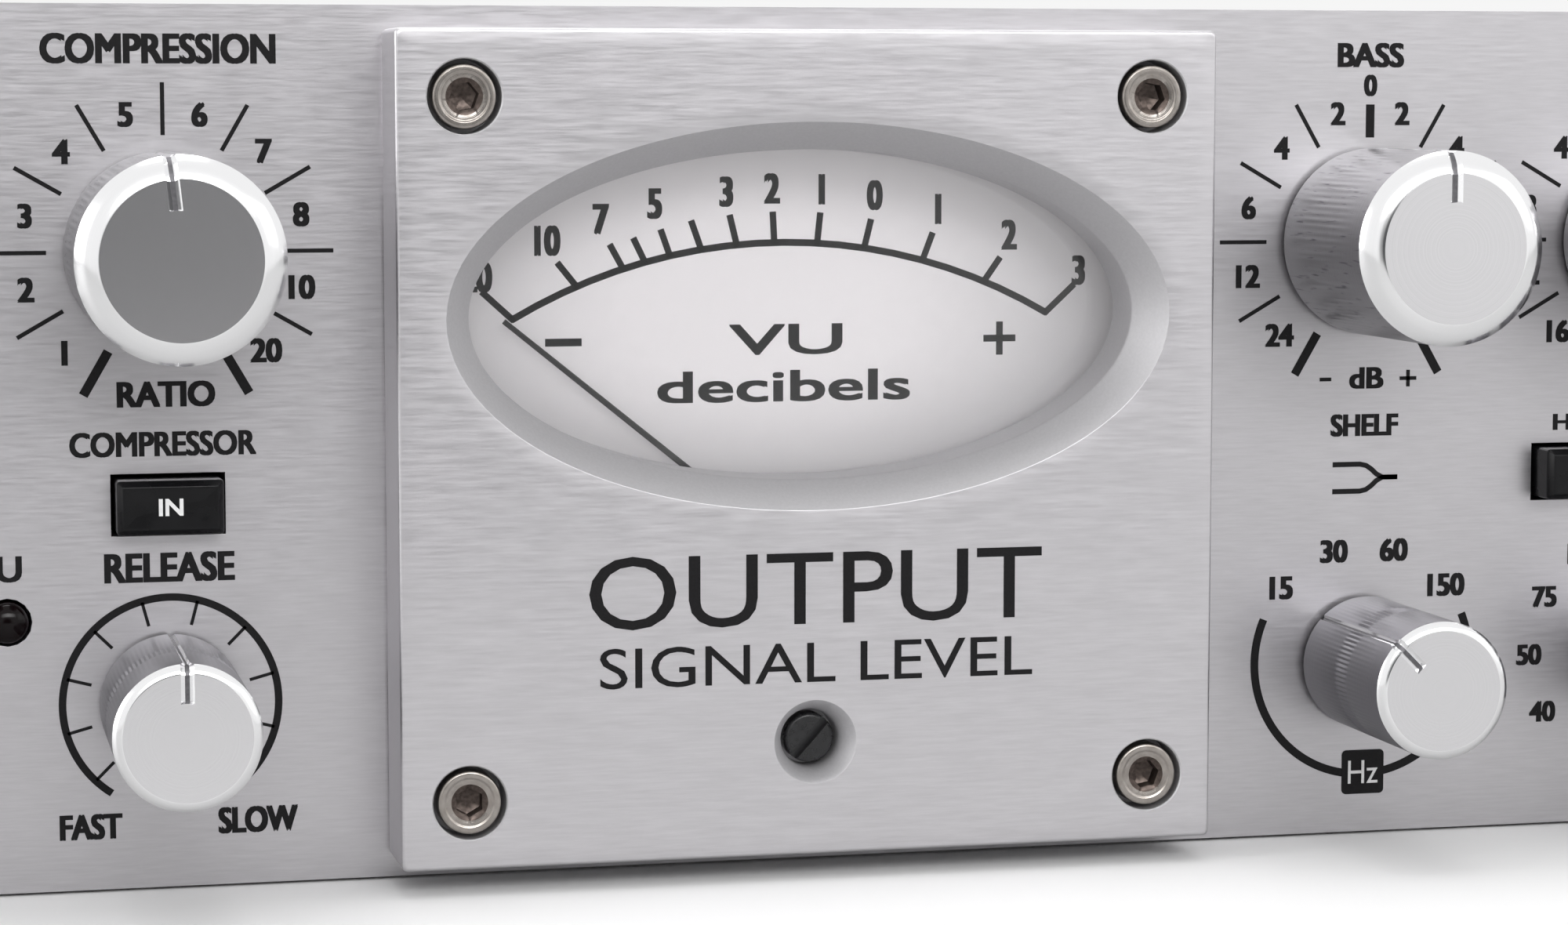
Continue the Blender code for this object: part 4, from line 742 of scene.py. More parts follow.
def turned_aluminium(name, base, dark, roughness, relief):
    """Aluminium off the lathe: bright, with rings about the knob's own axis."""
    made, tree, shader = finish(name, base, 1.0, roughness)
    local = node(tree, "ShaderNodeAttribute", attribute_name="local").outputs["Vector"]
    flat_place = node(tree, "ShaderNodeVectorMath", {0: local, 1: (1, 1, 0)}, operation="MULTIPLY").outputs[0]
    from_axis = node(tree, "ShaderNodeVectorMath", {0: flat_place}, operation="LENGTH").outputs["Value"]
    height = node(tree, "ShaderNodeSeparateXYZ", {0: local}).outputs["Z"]
    travel = node(tree, "ShaderNodeMath", {0: from_axis, 1: height}, operation="ADD").outputs[0]
    rings = node(tree, "ShaderNodeTexNoise", {"W": travel, "Scale": 1 / (0.16 * MM), "Detail": 3.0},
                 noise_dimensions="1D").outputs[0]
    tree.links.new(node(tree, "ShaderNodeBump", {
        "Height": rings, "Strength": 0.5, "Distance": relief}).outputs[0], shader.inputs["Normal"])
    tree.links.new(node(tree, "ShaderNodeMix", {0: rings, 6: colour(dark), 7: colour(base)},
                        data_type="RGBA").outputs[2], shader.inputs["Base Color"])
    return made


satin_face = turned_aluminium("satin_turned_aluminium", "E6E5E7", "DCDBDD", 0.22, 0.002 * MM)
polished_rim = turned_aluminium("polished_turned_aluminium", "FCFCFD", "F6F6F7", 0.14, 0.001 * MM)
# The sides are the same aluminium with their colour painted darker than the face: painted shade on the sides.
knob_side_painted_shade = turned_aluminium("fine_turned_side_aluminium", "A9A8AA", "8F8E91", 0.36, 0.006 * MM)
smooth_side_painted_shade = turned_aluminium("smooth_turned_side_aluminium", "949397", "828185", 0.38, 0.003 * MM)

# On the large knobs short dark marks along the axis over the rings are painted shade standing for the knurling
# wheel's dents.
tree = knob_side_painted_shade.node_tree
along_axis = node(tree, "ShaderNodeMapping", {
    "Vector": node(tree, "ShaderNodeAttribute", attribute_name="local").outputs["Vector"],
    "Scale": (1 / (0.34 * MM), 1 / (0.34 * MM), 1 / (3.4 * MM))})
painted_dent_shade = node(tree, "ShaderNodeMapRange", {
    "Value": node(tree, "ShaderNodeTexNoise", {"Vector": along_axis.outputs[0], "Scale": 1.0,
                                               "Detail": 1.0}).outputs[0],
    "From Min": 0.62, "From Max": 0.76}).outputs[0]
base = tree.nodes["Principled BSDF"].inputs["Base Color"]
tree.links.new(node(tree, "ShaderNodeMix", {0: painted_dent_shade, 6: base.links[0].from_socket, 7: colour("66656A")},
                    data_type="RGBA").outputs[2], base)

# Bottom of a milled groove: duller than the face it is cut in, with its colour painted darker as painted shade
# in the groove.
groove_painted_shade_metal, tree, shader = finish("milled_groove_aluminium", "6A696C", 1.0, 0.45)
mottle(tree, shader, 3000.0, "545356", "7C7B7E")

GROOVE_HALF = 0.22 * MM
GROOVE_WALL = 0.42 * MM
GROOVE_DEPTH = 0.40 * MM
SIDE_GROOVE = 0.22 * MM
SIDE_NARROWING = 0.5    # of the groove's width on the face
KNURLS = 88
STEPS_PER_KNURL = 4
FOOT_GAP = 0.5 * MM
SPINDLE = 3.0 * MM
RIM_DROP = 0.6     # of the rim's width: the rim is a shallow crowned chamfer


def knob_form(radius, height, rim, spindle_end, knurl_low, knurl_high, knurl_depth):
    """A profile swept round the axis. Four columns by the pointer keep a fixed distance from its
    middle line, and the middle two are pushed in as the groove, square to the face and the side
    and aslant on the rim. On the side the radius is drawn in by a row of shallow cosine flutes,
    the knurl."""
    groove_start = radius * 0.48
    side_low = FOOT_GAP + 0.5 * MM
    face = np.array([(0, height), (groove_start * 0.5, height), (groove_start - 0.05 * MM, height),
                     (groove_start + 0.05 * MM, height), (radius - rim - 0.04 * MM, height)])
    share = np.linspace(0, 1, 11)
    crown = 0.09 * rim * np.sin(math.pi * share)
    shoulder = np.stack([radius - rim + rim * share + 0.5 * crown, height - RIM_DROP * rim * share + crown],
                        -1)
    steps = np.concatenate([[height - rim - 0.6 * MM], np.linspace(knurl_high, knurl_low, 9), [side_low]])
    side = np.stack([np.full(len(steps), radius), steps], -1)
    foot = np.array([(radius - 0.45 * MM, FOOT_GAP), (SPINDLE + 0.1 * MM, FOOT_GAP),
                     (SPINDLE, FOOT_GAP - 0.1 * MM), (SPINDLE, spindle_end), (0, spindle_end)])
    profile = np.concatenate([face, shoulder, side, foot])
    row_radius, row_height = profile.T
    rim_start = len(face)
    side_start = rim_start + len(shoulder)
    foot_start = side_start + len(side)
    inward = np.zeros((len(profile), 2))
    inward[3:rim_start] = (0, GROOVE_DEPTH)
    inward[rim_start:side_start] = (0.5 * GROOVE_DEPTH, 0.87 * GROOVE_DEPTH)
    inward[side_start:foot_start] = (SIDE_GROOVE, 0)

    offsets = np.array([-GROOVE_HALF - GROOVE_WALL, -GROOVE_HALF, GROOVE_HALF, GROOVE_HALF + GROOVE_WALL])
    held = np.maximum(row_radius, groove_start)[:, None]
    narrow = np.where(np.arange(len(profile)) < side_start, 1.0, SIDE_NARROWING)[:, None]
    near = np.arcsin(offsets * narrow / held)
    columns = KNURLS * STEPS_PER_KNURL
    share = np.arange(1, columns) / columns
    far = near[:, 3:] + (math.tau + near[:, :1] - near[:, 3:]) * share
    angle = np.concatenate([near, far], 1)
    band = np.zeros(len(profile))
    band[side_start + 2:side_start + 9] = 1.0
    flute = knurl_depth * band[:, None] * (0.5 - 0.5 * np.cos(math.tau * KNURLS * share))
    reach = np.repeat(row_radius[:, None], angle.shape[1], 1)
    rise = np.repeat(row_height[:, None], angle.shape[1], 1)
    reach[:, 1:3] -= inward[:, :1]
    rise[:, 1:3] -= inward[:, 1:]
    reach[:, 4:] -= flute
    reach = np.maximum(reach, 0)
    points = np.stack([reach * np.sin(angle), reach * np.cos(angle), rise], -1).reshape(-1, 3)
    faces = grid_faces(*angle.shape)
    numbers = np.zeros((len(profile) - 1, angle.shape[1]), int)
    numbers[rim_start - 1:side_start - 1] = 1
    numbers[side_start - 1:] = 2
    numbers[3:foot_start - 1, 0:3] = (1, 3, 1)
    return points, faces, numbers.ravel()


LARGE = {"radius": 9.9 * MM, "height": 23.4 * MM, "rim": 2.25 * MM, "knurl_low": 4.5 * MM,
         "knurl_high": 18.0 * MM, "knurl_depth": 0.05 * MM}
SMALL = {"radius": 7.1 * MM, "height": 22.1 * MM, "rim": 0.9 * MM, "knurl_low": 9.5 * MM,
         "knurl_high": 13.5 * MM, "knurl_depth": 0.12 * MM}
# pointer at rest, in degrees clockwise from straight up, where it isn't 0
POINTERS = {"input_select_knob": -60, "ratio_knob": -6, "preamp_gain_knob": -30, "low_cut_knob": -90,
            "bass_frequency_knob": -45, "treble_frequency_knob": -45}
turning = {j["child"]: j["pos_m"] for j in frame["joints"] if j["child"].endswith("_knob")}
for name, (x, y, z) in turning.items():
    low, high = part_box(name)
    size = LARGE if high.x - low.x > 17 * MM else SMALL
    side_aluminium_painted_shade = knob_side_painted_shade if size is LARGE else smooth_side_painted_shade
    make_piece(name + "_turned", [knob_form(spindle_end=PANEL_FACE - high.y, **size)],
               front_place(x, PANEL_FACE, z, math.radians(POINTERS.get(name, 0))),
               [satin_face, polished_rim, side_aluminium_painted_shade, groove_painted_shade_metal], body=name, stands_for=[name],
               crease=40)

# ---------------------------------------------------------------------------------------------
# Push buttons: glossy black moulded caps with bevelled edges, in close rectangular holes. The
# ones that switch a section in carry its word in white.
# ---------------------------------------------------------------------------------------------

# Black ABS from a polished mould: glossy, with faint handling marks.
glossy_abs, tree, shader = finish("glossy_black_abs", "0C0C0E", 0.0, 0.28, ior=1.53, specular_ior_level=0.2)
mottle(tree, shader, 260.0, "09090A", "141416", detail=4.0, wear=(0.4, 0.7, 0.24, 0.34))

# Hot-foil white: opaque and slightly satin.
white_foil, tree, shader = finish("white_foil", "F1F1F1", 0.0, 0.38, ior=1.5)
mottle(tree, shader, 2500.0, "D2D2D2", "E8E8E8", space="Object")


def block(half_width, half_height, corner, rows):
    """Rounded rectangles stacked along local z: each row is (inset, height), closed at both ends."""
    rings = []
    for inset, height in rows:
        ring = outline(half_width - inset, half_height - inset, max(corner - inset, 0.05 * MM), 4)
        rings.append(np.column_stack([ring, np.full(len(ring), height)]))
    first = rings[0] * (0, 0, 1)
    last = rings[-1] * (0, 0, 1)
    rings = [first] + rings + [last]
    return np.concatenate(rings), grid_faces(len(rings), len(rings[0]))


BUTTON_HALF = (5.25 * MM, 2.70 * MM)
buttons = [body for body in frame["bodies"] if body.endswith("_button")]
for name in buttons:
    low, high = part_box(name)
    x, z = middle(name)
    cap = softened([(0.75 * MM, 0.0), (0.55 * MM, 0.0), (0.0, -0.75 * MM), (0.0, -9.5 * MM)],
                   [0.1 * MM, 0.15 * MM], 4)
    face = np.array([(1.9 * MM, -0.10 * MM), (1.2 * MM, -0.03 * MM)])
    stem = np.array([(0.0, -9.4 * MM), (0.0, low.y - high.y)])
    forms = [(*block(*BUTTON_HALF, 0.35 * MM, np.concatenate([face, cap])), 0),
             (*block(1.5 * MM, 1.5 * MM, 0.1 * MM, stem), 0)]
    make_piece(name + "_moulded", forms, front_place(x, low.y, z), [glossy_abs], body=name,
               stands_for=[name], crease=25)
    if name in ("compressor_in_button", "equaliser_in_button"):
        make_piece(name + "_word", [(*letters("IN", 0, 0.1 * MM, 1.7 * MM, 2.4 * MM, 0.04), 0)],
                   front_place(x, low.y + 0.07 * MM, z), [white_foil], body=name, crease=20)

# ---------------------------------------------------------------------------------------------
# Panel markings: black silk-screen on the anodised face. Each large knob has a ring of fine
# ticks with two heavy end stops, and a number between each pair.
# ---------------------------------------------------------------------------------------------

TICK_WIDTH = 0.42 * MM
HEAVY_WIDTH = 0.95 * MM
NUMBER_RING = 14.0 * MM
DIGIT_HEIGHT = 2.45 * MM
LABEL_HEIGHT = 3.0 * MM
PATCH = 1.5 * INK
ALL_TEN = [-135 + 30 * step for step in range(10)]


def knob_centre(name):
    """Where a knob's axis meets the panel, as X and Z."""
    x, _, z = turning[name]
    return x, z


def digits(centre, radius, marks, height=DIGIT_HEIGHT):
    """Numbers on a ring, upright, as (angle, number) pairs."""
    forms = []
    for angle, number in marks:
        x, z = around(centre, radius, angle, angle)[0]
        forms.append(letters(number, x, z, height, squeeze=0.88, weight=0.065))
    return forms


def large_dial(centre, numbers, top_heavy=False):
    """Fine ticks every 30 degrees, heavy ones at the ends of travel and, for a cut-and-boost
    control, a short heavy one at the top."""
    forms = []
    for angle in range(-120, 121, 30):
        heavy = top_heavy and angle == 0
        forms.append(tick(centre, angle, 11.0 * MM if heavy else 11.5 * MM, 14.5 * MM if heavy else 16.7 * MM,
                          HEAVY_WIDTH if heavy else TICK_WIDTH))
    for angle in (-150, 150):
        forms.append(tick(centre, angle, 11.3 * MM, 16.3 * MM, HEAVY_WIDTH))
    return forms + digits(centre, NUMBER_RING, zip(ALL_TEN, numbers))


def small_ring(centre, left, right):
    """A heavy open circle with short ticks inwards, and a word at each end."""
    forms = [stripe(around(centre, 10.7 * MM, -146, 146), 0.75 * MM)]
    for angle in range(-135, 136, 30):
        forms.append(tick(centre, angle, 8.1 * MM, 10.6 * MM, 0.32 * MM))
    x, z = centre
    forms.append(letters(left, x - 8.1 * MM, z - 12.2 * MM, 2.6 * MM, 6.2 * MM, 0.06))
    forms.append(letters(right, x + 8.5 * MM, z - 12.1 * MM, 2.7 * MM, 8.0 * MM, 0.06))
    return forms


def word(text, x, z, width, height=LABEL_HEIGHT):
    """A control's name, centred on a point."""
    return letters(text, x, z, height, width, 0.06)


def unit_patch(x, z):
    """A black patch for a white unit: a square with round corners, closed top and bottom."""
    ring = outline(2.4 * MM, 2.4 * MM, 0.5 * MM, 5)
    rows = [(ring * 0, 0), (ring, 0), (ring, PATCH), (ring * 0, PATCH)]
    return rings_at(rows) + (x, z, 0), grid_faces(4, len(ring))


ratio = knob_centre("ratio_knob")
printed("ratio_markings",
        large_dial(ratio, ("1", "2", "3", "4", "5", "6", "7", "8", "10", "20"))
        + [boxed("COMPRESSION", -75.6, 85.2, -52.6, 82.2, 0.055),
           boxed("RATIO", -68.7, 50.9, -59.0, 48.3, 0.06),
           boxed("COMPRESSOR", -73.4, 45.9, -55.0, 43.4, 0.05)], PANEL_FACE)
release = knob_centre("release_knob")
printed("release_markings", small_ring(release, "FAST", "SLOW")
        + [boxed("RELEASE", -70.2, 33.8, -57.3, 30.8, 0.055)], PANEL_FACE)

threshold = knob_centre("threshold_knob")
printed("threshold_markings",
        large_dial(threshold, ("30", "25", "20", "15", "10", "5", "0", "5", "10", "20"))
        + [word("THRESHOLD", threshold[0], 83.7 * MM, 20 * MM),
           word("dB", threshold[0], 49.5 * MM, 4 * MM, 2.5 * MM)],
        PANEL_FACE)
attack = knob_centre("attack_knob")
printed("attack_markings", small_ring(attack, "FAST", "SLOW")
        + [word("ATTACK", attack[0], 32.3 * MM, 11.5 * MM)], PANEL_FACE)

selector = knob_centre("input_select_knob")
positions = [tick(selector, angle, 11.5 * MM, 14.0 * MM, HEAVY_WIDTH) for angle in (-60, 0, 60)]
printed("input_select_markings",
        positions + [word("MIC", selector[0] - 15.2 * MM, 74.2 * MM, 4.6 * MM, 2.2 * MM),
                     word("LINE", selector[0], 79.6 * MM, 6.0 * MM, 2.2 * MM),
                     word("INST", selector[0] + 15.2 * MM, 74.2 * MM, 5.4 * MM, 2.2 * MM),
                     word("INPUT", selector[0], 84.2 * MM, 11 * MM, 2.6 * MM),
                     word("INST", selector[0], 30.6 * MM, 7.0 * MM, 2.4 * MM)], PANEL_FACE)
preamp = knob_centre("preamp_gain_knob")
printed("gain_markings",
        large_dial(preamp, ("0", "5", "10", "15", "20", "25", "30", "35", "40", "45"))
        + [word("GAIN", preamp[0], 83.7 * MM, 9.5 * MM),
           word("dB", preamp[0], 49.5 * MM, 4 * MM, 2.5 * MM)], PANEL_FACE)
low_cut = knob_centre("low_cut_knob")
printed("low_cut_markings",
        digits(low_cut, 12.4 * MM, ((-90, "30"), (-45, "50"), (0, "75"), (45, "100"), (90, "120"),
                                    (135, "140")))
        + [stripe(around(low_cut, 10.6 * MM, 150, 262), 0.75 * MM),
           word("LOW CUT", low_cut[0], 37.6 * MM, 13.5 * MM, 2.6 * MM), unit_patch(low_cut[0], 6.4 * MM)],
        PANEL_FACE)

switch_words = {"phantom_power_button": ("+48", 7.0), "phase_button": ("PHASE", 9.5),
                "low_cut_button": ("FILTER", 10.0)}
for name, (text, width) in switch_words.items():
    low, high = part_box(name)
    printed(name + "_label", [word(text, (low.x + high.x) / 2, high.z + 4.4 * MM, width * MM, 2.4 * MM)],
            PANEL_FACE)

lamp_x, lamp_z = middle("meter_mode_lamp")
printed("lamp_label", [boxed("VU", -83.2, 33.8, -78.2, 31.2, 0.05)], PANEL_FACE)

bass = knob_centre("bass_knob")
CUT_BOOST = ("24", "12", "6", "4", "2", "2", "4", "6", "12", "24")
MID_CUT_BOOST = ("16", "12", "8", "4", "2", "2", "4", "8", "12", "16")


def equaliser_dial(centre, numbers, title, title_width):
    """A large dial with its title and 0 over it, and a minus, dB and a plus under it."""
    x, z = centre
    return large_dial(centre, numbers, top_heavy=True) + [
        word(title, x, z + 19.7 * MM, title_width, 2.6 * MM), word("0", x, z + 16.5 * MM, 1.5 * MM, 2.3 * MM),
        word("dB", x, z - 14.6 * MM, 3.9 * MM, 2.3 * MM),
        stripe([(x - 5.3 * MM, z - 14.7 * MM), (x - 4.0 * MM, z - 14.7 * MM)], 0.4 * MM),
        stripe([(x + 3.8 * MM, z - 14.7 * MM), (x + 5.7 * MM, z - 14.7 * MM)], 0.4 * MM),
        stripe([(x + 4.75 * MM, z - 15.6 * MM), (x + 4.75 * MM, z - 13.8 * MM)], 0.4 * MM)]


def shelf_symbol(x, z, side):
    """Two lines that run level and close into one, towards one side."""
    bend = mm((-3.7, 1.45), (-0.6, 1.45), (0.1, 1.3), (0.7, 0.9), (1.3, 0.35), (2.0, 0.0), (3.7, 0.0))
    lower = bend * (1, -1)
    return [stripe(line * (side, 1) + (x, z), 0.55 * MM) for line in (bend, lower)]


def frequency_arc(centre, marks, start, end, radius=12.4 * MM):
    """A heavy arc round the lower side of a dial with its unit patch, and numbers at the detents."""
    return ([stripe(around(centre, 12.3 * MM, start, end), 0.88 * MM),
             unit_patch(centre[0] + 0.2 * MM, centre[1] - 12.1 * MM)]
            + digits(centre, radius, marks, 2.5 * MM))


for band, title, title_width, side in (("bass", "BASS", 7.5 * MM, 1), ("treble", "TREBLE", 11.5 * MM, -1)):
    centre = knob_centre(band + "_knob")
    lower = knob_centre(band + "_frequency_knob")
    marks = {"bass": ("15", "30", "60", "150"), "treble": ("8K", "12K", "20K", "30K")}[band]
    printed(band + "_markings",
            equaliser_dial(centre, CUT_BOOST, title, title_width)
            + [word("SHELF", centre[0] - 0.15 * MM, 44.05 * MM, 7.7 * MM, 2.4 * MM)]
            + shelf_symbol(centre[0], 38.4 * MM, side)
            + frequency_arc(lower, zip((-49, -16, 16, 50), marks), 293, 67), PANEL_FACE)

MID_FREQUENCIES = {
    "low_mid": ("35", "40", "50", "75", "100", "120", "150", "200", "250", "350", "450"),
    "high_mid": ("160", "200", "250", "300", "400", "500", "750", "1K", "1K5", "2K", "2K8")}
for band, title, title_width in (("low_mid", "LOW MID", 14.0 * MM), ("high_mid", "HIGH MID", 15.5 * MM)):
    centre = knob_centre(band + "_knob")
    lower = knob_centre(band + "_frequency_knob")
    angles = [-150 + 30 * step for step in range(11)]
    forms = equaliser_dial(centre, MID_CUT_BOOST, title, title_width)
    forms += digits(lower, 12.6 * MM, zip(angles, MID_FREQUENCIES[band]), 2.3 * MM)
    forms.append(unit_patch(lower[0], lower[1] - 12.1 * MM))
    for button, text in ((band + "_narrow_button", "HI Q"), (band + "_times_ten_button", "X10")):
        forms.append(word(text, middle(button)[0], 43.8 * MM, 6.4 * MM, 2.1 * MM))
    printed(band + "_markings", forms, PANEL_FACE)

output = knob_centre("output_level_knob")
low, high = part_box("equaliser_in_button")
printed("output_markings",
        large_dial(output, ("30", "20", "15", "10", "5", "0", "5", "10", "15", "20"))
        + [word("OUTPUT", output[0], output[1] + 20 * MM, 13 * MM),
           word("dB", output[0], output[1] - 14.6 * MM, 4 * MM, 2.5 * MM),
           word("EQUALISER", output[0], high.z + 4.2 * MM, 17 * MM, 2.4 * MM)], PANEL_FACE)

# The white units on the black patches.
patches = [knob_centre(name) for name in turning if name.endswith("frequency_knob") or name == "low_cut_knob"]
make_piece("frequency_units",
           [(*letters("Hz", x + (0.2 * MM if abs(x - bass[0]) < MM or x > 0.15 else 0), z - 12.1 * MM,
                      2.5 * MM, 3.4 * MM, 0.0), 0)
            for x, z in patches], front_place(0, PANEL_FACE - PATCH, 0), [white_foil], crease=20)

# Words under the meter: the plain functional title that a meter of this kind carries.
printed("meter_title", [letters("OUTPUT", 0.3 * MM, 29.6 * MM, 7.4 * MM, 47 * MM, 0.0),
                        letters("SIGNAL LEVEL", 0.35 * MM, 22.05 * MM, 4.1 * MM, 45 * MM, 0.0)], PLATE_FACE)

# ---------------------------------------------------------------------------------------------
# Mode lamp and instrument socket on the panel.
# ---------------------------------------------------------------------------------------------

# Dark red-black acrylic dome, unlit: nearly black with a hard highlight.
dark_dome, tree, shader = finish("dark_acrylic_dome", "050304", 0.0, 0.12, ior=1.49, specular_ior_level=0.2)
mottle(tree, shader, 500.0, "040203", "100708")
arc = np.linspace(0, math.pi / 2, 10)
dome = np.stack([2.1 * MM * np.sin(arc), 1.3 * MM * np.cos(arc)], -1)
flange = np.array([(2.1 * MM, -6.3 * MM), (2.9 * MM, -6.3 * MM), (2.9 * MM, -7.1 * MM), (0, -7.1 * MM)])
make_piece("meter_mode_lamp_dome", [(*lathe(np.concatenate([dome, flange]), 40), 0)],
           front_place(lamp_x, PANEL_FACE, lamp_z), [dark_dome], stands_for=["meter_mode_lamp"])

# Nickel plate over brass: warm silver, bright, with a slight ripple from the plating.
nickel_plate, tree, shader = finish("nickel_plated_brass", "C9C3B7", 1.0, 0.16)
mottle(tree, shader, 700.0, "BDB6A9", "D6D1C6", detail=3.0, relief=(0.2, 0.02 * MM))

# Jack socket: a hexagon nut with a chamfered crown on a threaded barrel, with a plain bore.
low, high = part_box("instrument_jack")
jack_x, jack_z = middle("instrument_jack")
nut_face = PANEL_FACE - low.y
rear = PANEL_FACE - high.y
nut = np.array([(3.25 * MM, nut_face), (4.4 * MM, nut_face), (4.4 * MM, nut_face - 0.4 * MM),
                (4.7 * MM, nut_face - 0.4 * MM),
                (5.2 * MM, nut_face - 0.5 * MM), (5.37 * MM, nut_face - 0.9 * MM), (5.37 * MM, 0.3 * MM),
                (4.6 * MM, 0.3 * MM), (4.6 * MM, -6.3 * MM), (7.3 * MM, -6.3 * MM)])
barrel = softened([(7.3 * MM, -6.3 * MM), (7.5 * MM, -6.5 * MM), (7.5 * MM, rear), (0, rear)],
                  [0, 0.5 * MM], 4)
bore = np.array([(0, nut_face - 25.9 * MM), (3.25 * MM, nut_face - 25.9 * MM), (3.25 * MM, nut_face)])
six_sided = np.array([0, 0, 0, 0, 0.6, 1.0, 1.0, 0, 0, 0])
make_piece("instrument_jack_nickel",
           [(*lathe(bore, 72), 1), (*lathe(nut, 72, hexagon(72, six_sided)), 0), (*lathe(barrel, 72), 1)],
           front_place(jack_x, PANEL_FACE, jack_z), [nickel_plate, grained_abs],
           stands_for=["instrument_jack"])

# ---------------------------------------------------------------------------------------------
# Case: a folded steel tray, a flat cover with a row of vents over the tubes, and a rear plate,
# all powder coated in a fine-textured dark grey.
# ---------------------------------------------------------------------------------------------

# Powder coat: dark grey, with the small orange-peel bumps that the baked powder leaves.
powder_coat, tree, shader = finish("powder_coated_steel", "36373A", 0.0, 0.46, ior=1.5)
place = node(tree, "ShaderNodeTexCoord").outputs["Object"]
peel = node(tree, "ShaderNodeTexNoise", {"Vector": place, "Scale": 1 / (0.9 * MM), "Detail": 2.0}).outputs[0]
mottle(tree, shader, 40.0, "323336", "3A3B3E", detail=5.0, wear=(0.35, 0.65, 0.44, 0.49), space="Object")
tree.links.new(node(tree, "ShaderNodeBump", {"Height": peel, "Strength": 0.45, "Distance": 0.05 * MM}
                    ).outputs[0], shader.inputs["Normal"])
broken_edges("chassis_tray", 0.35 * MM, powder_coat)
broken_edges("top_cover", 0.25 * MM, powder_coat)
broken_edges("rear_panel", 0.2 * MM, powder_coat)

# Cover screws: black-oxide pan heads with a cross recess, which is four tapered wings.
black_oxide, tree, shader = finish("black_oxide_steel", "26262A", 0.8, 0.36)
mottle(tree, shader, 1200.0, "1C1C1F", "3C3C42", detail=3.0)


def cross_recess():
    """A cross of two tapered bars, as one star-shaped closed form."""
    angle = np.arange(48) * math.tau / 48
    fold = np.mod(angle + math.tau / 8, math.tau / 4) - math.tau / 8
    rows = [np.zeros((48, 3)) + (0, 0, -1.0 * MM)]
    for reach, half, height in ((0.75, 0.17, -1.0), (1.55, 0.30, 0.6)):
        radius = np.minimum(reach / np.cos(fold), half / np.maximum(np.abs(np.sin(fold)), 0.05)) * MM
        radius = np.maximum(radius, half * 1.3 * MM)
        rows.append(np.stack([radius * np.cos(angle), radius * np.sin(angle), np.full(48, height * MM)], -1))
    rows.append(np.zeros((48, 3)) + (0, 0, 0.6 * MM))
    return np.concatenate(rows), grid_faces(4, 48), 0


for number in (1, 2, 3, 4):
    low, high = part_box(f"cover_screw_{number}")
    top = 1.3 * MM
    pan = softened([(0, top), (1.9 * MM, top), (2.9 * MM, 0.35 * MM), (2.9 * MM, 0), (1.5 * MM, 0),
                    (1.5 * MM, -6 * MM), (0, -6 * MM)], [0.9 * MM, 0.3 * MM, 0, 0, 0.3 * MM], 5)
    spot = standing((low.x + high.x) / 2, (low.y + high.y) / 2, high.z - top)
    screw = make_piece(f"cover_screw_{number}_pan_head", [(*lathe(pan, 48), 0)], spot, [black_oxide],
                       stands_for=[f"cover_screw_{number}"])
    recess = cross_recess()
    cut(screw, [(recess[0] + (0, 0, top), recess[1], 0)], spot)

# ---------------------------------------------------------------------------------------------
# Rear connectors: two cable sockets and one output with pins, each a black die-cast shell on a
# square flange with two screws, a mains inlet with its power rocker, and a fuse cap.
# ---------------------------------------------------------------------------------------------

# Die-cast zinc under black chrome: dark, smooth, metallic.
black_shell, tree, shader = finish("black_chromed_shell", "1A1A1D", 0.7, 0.34)
mottle(tree, shader, 900.0, "131315", "29292D", detail=3.0, relief=(0.25, 0.03 * MM))

# Gold flash on the contacts: warm, bright and thin.
gold_contact, tree, shader = finish("gold_flashed_contact", "D8B765", 1.0, 0.2)
mottle(tree, shader, 1500.0, "C8A450", "E6CB84")

tray_low, tray_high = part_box("chassis_tray")
REAR_FACE = tray_high.y
FLANGE = 2.3 * MM
FLANGE_HALF = (13.0 * MM, 15.5 * MM)
BARREL = 11.2 * MM
CONTACT_RING = 4.0 * MM


def flange_form():
    """A flat plate with round corners and a broken edge, pierced by the barrel's circle."""
    rim = outline(*FLANGE_HALF, 2.0 * MM, 6, 8)
    angle = np.arctan2(rim[:, 0], rim[:, 1])
    circle = np.stack([np.sin(angle), np.cos(angle)], -1)
    rows = [(circle * BARREL, 0.3 * MM), (circle * BARREL, FLANGE), (circle * 11.6 * MM, FLANGE),
            (rim * 0.97, FLANGE), (rim, 2.0 * MM), (rim, 0.3 * MM), (circle * BARREL, 0.3 * MM)]
    return rings_at(rows), grid_faces(len(rows), len(rim)), 0


def flange_screw(x, y):
    """A small countersunk head at a flange's corner."""
    points, faces = lathe(softened([(0, 2.45 * MM), (1.7 * MM, 2.45 * MM), (2.3 * MM, 2.3 * MM),
                                    (2.3 * MM, 2.1 * MM), (0, 2.1 * MM)], [0.3 * MM, 0.1 * MM, 0], 4), 32)
    return points + (x, y, 0), faces, 1


def contact(angle, radius, profile, number):
    """A turned contact on a ring of contacts, at an angle in degrees."""
    points, faces = lathe(profile, 24)
    x, y = radius * math.cos(math.radians(angle)), radius * math.sin(math.radians(angle))
    return points + (x, y, 0), faces, number


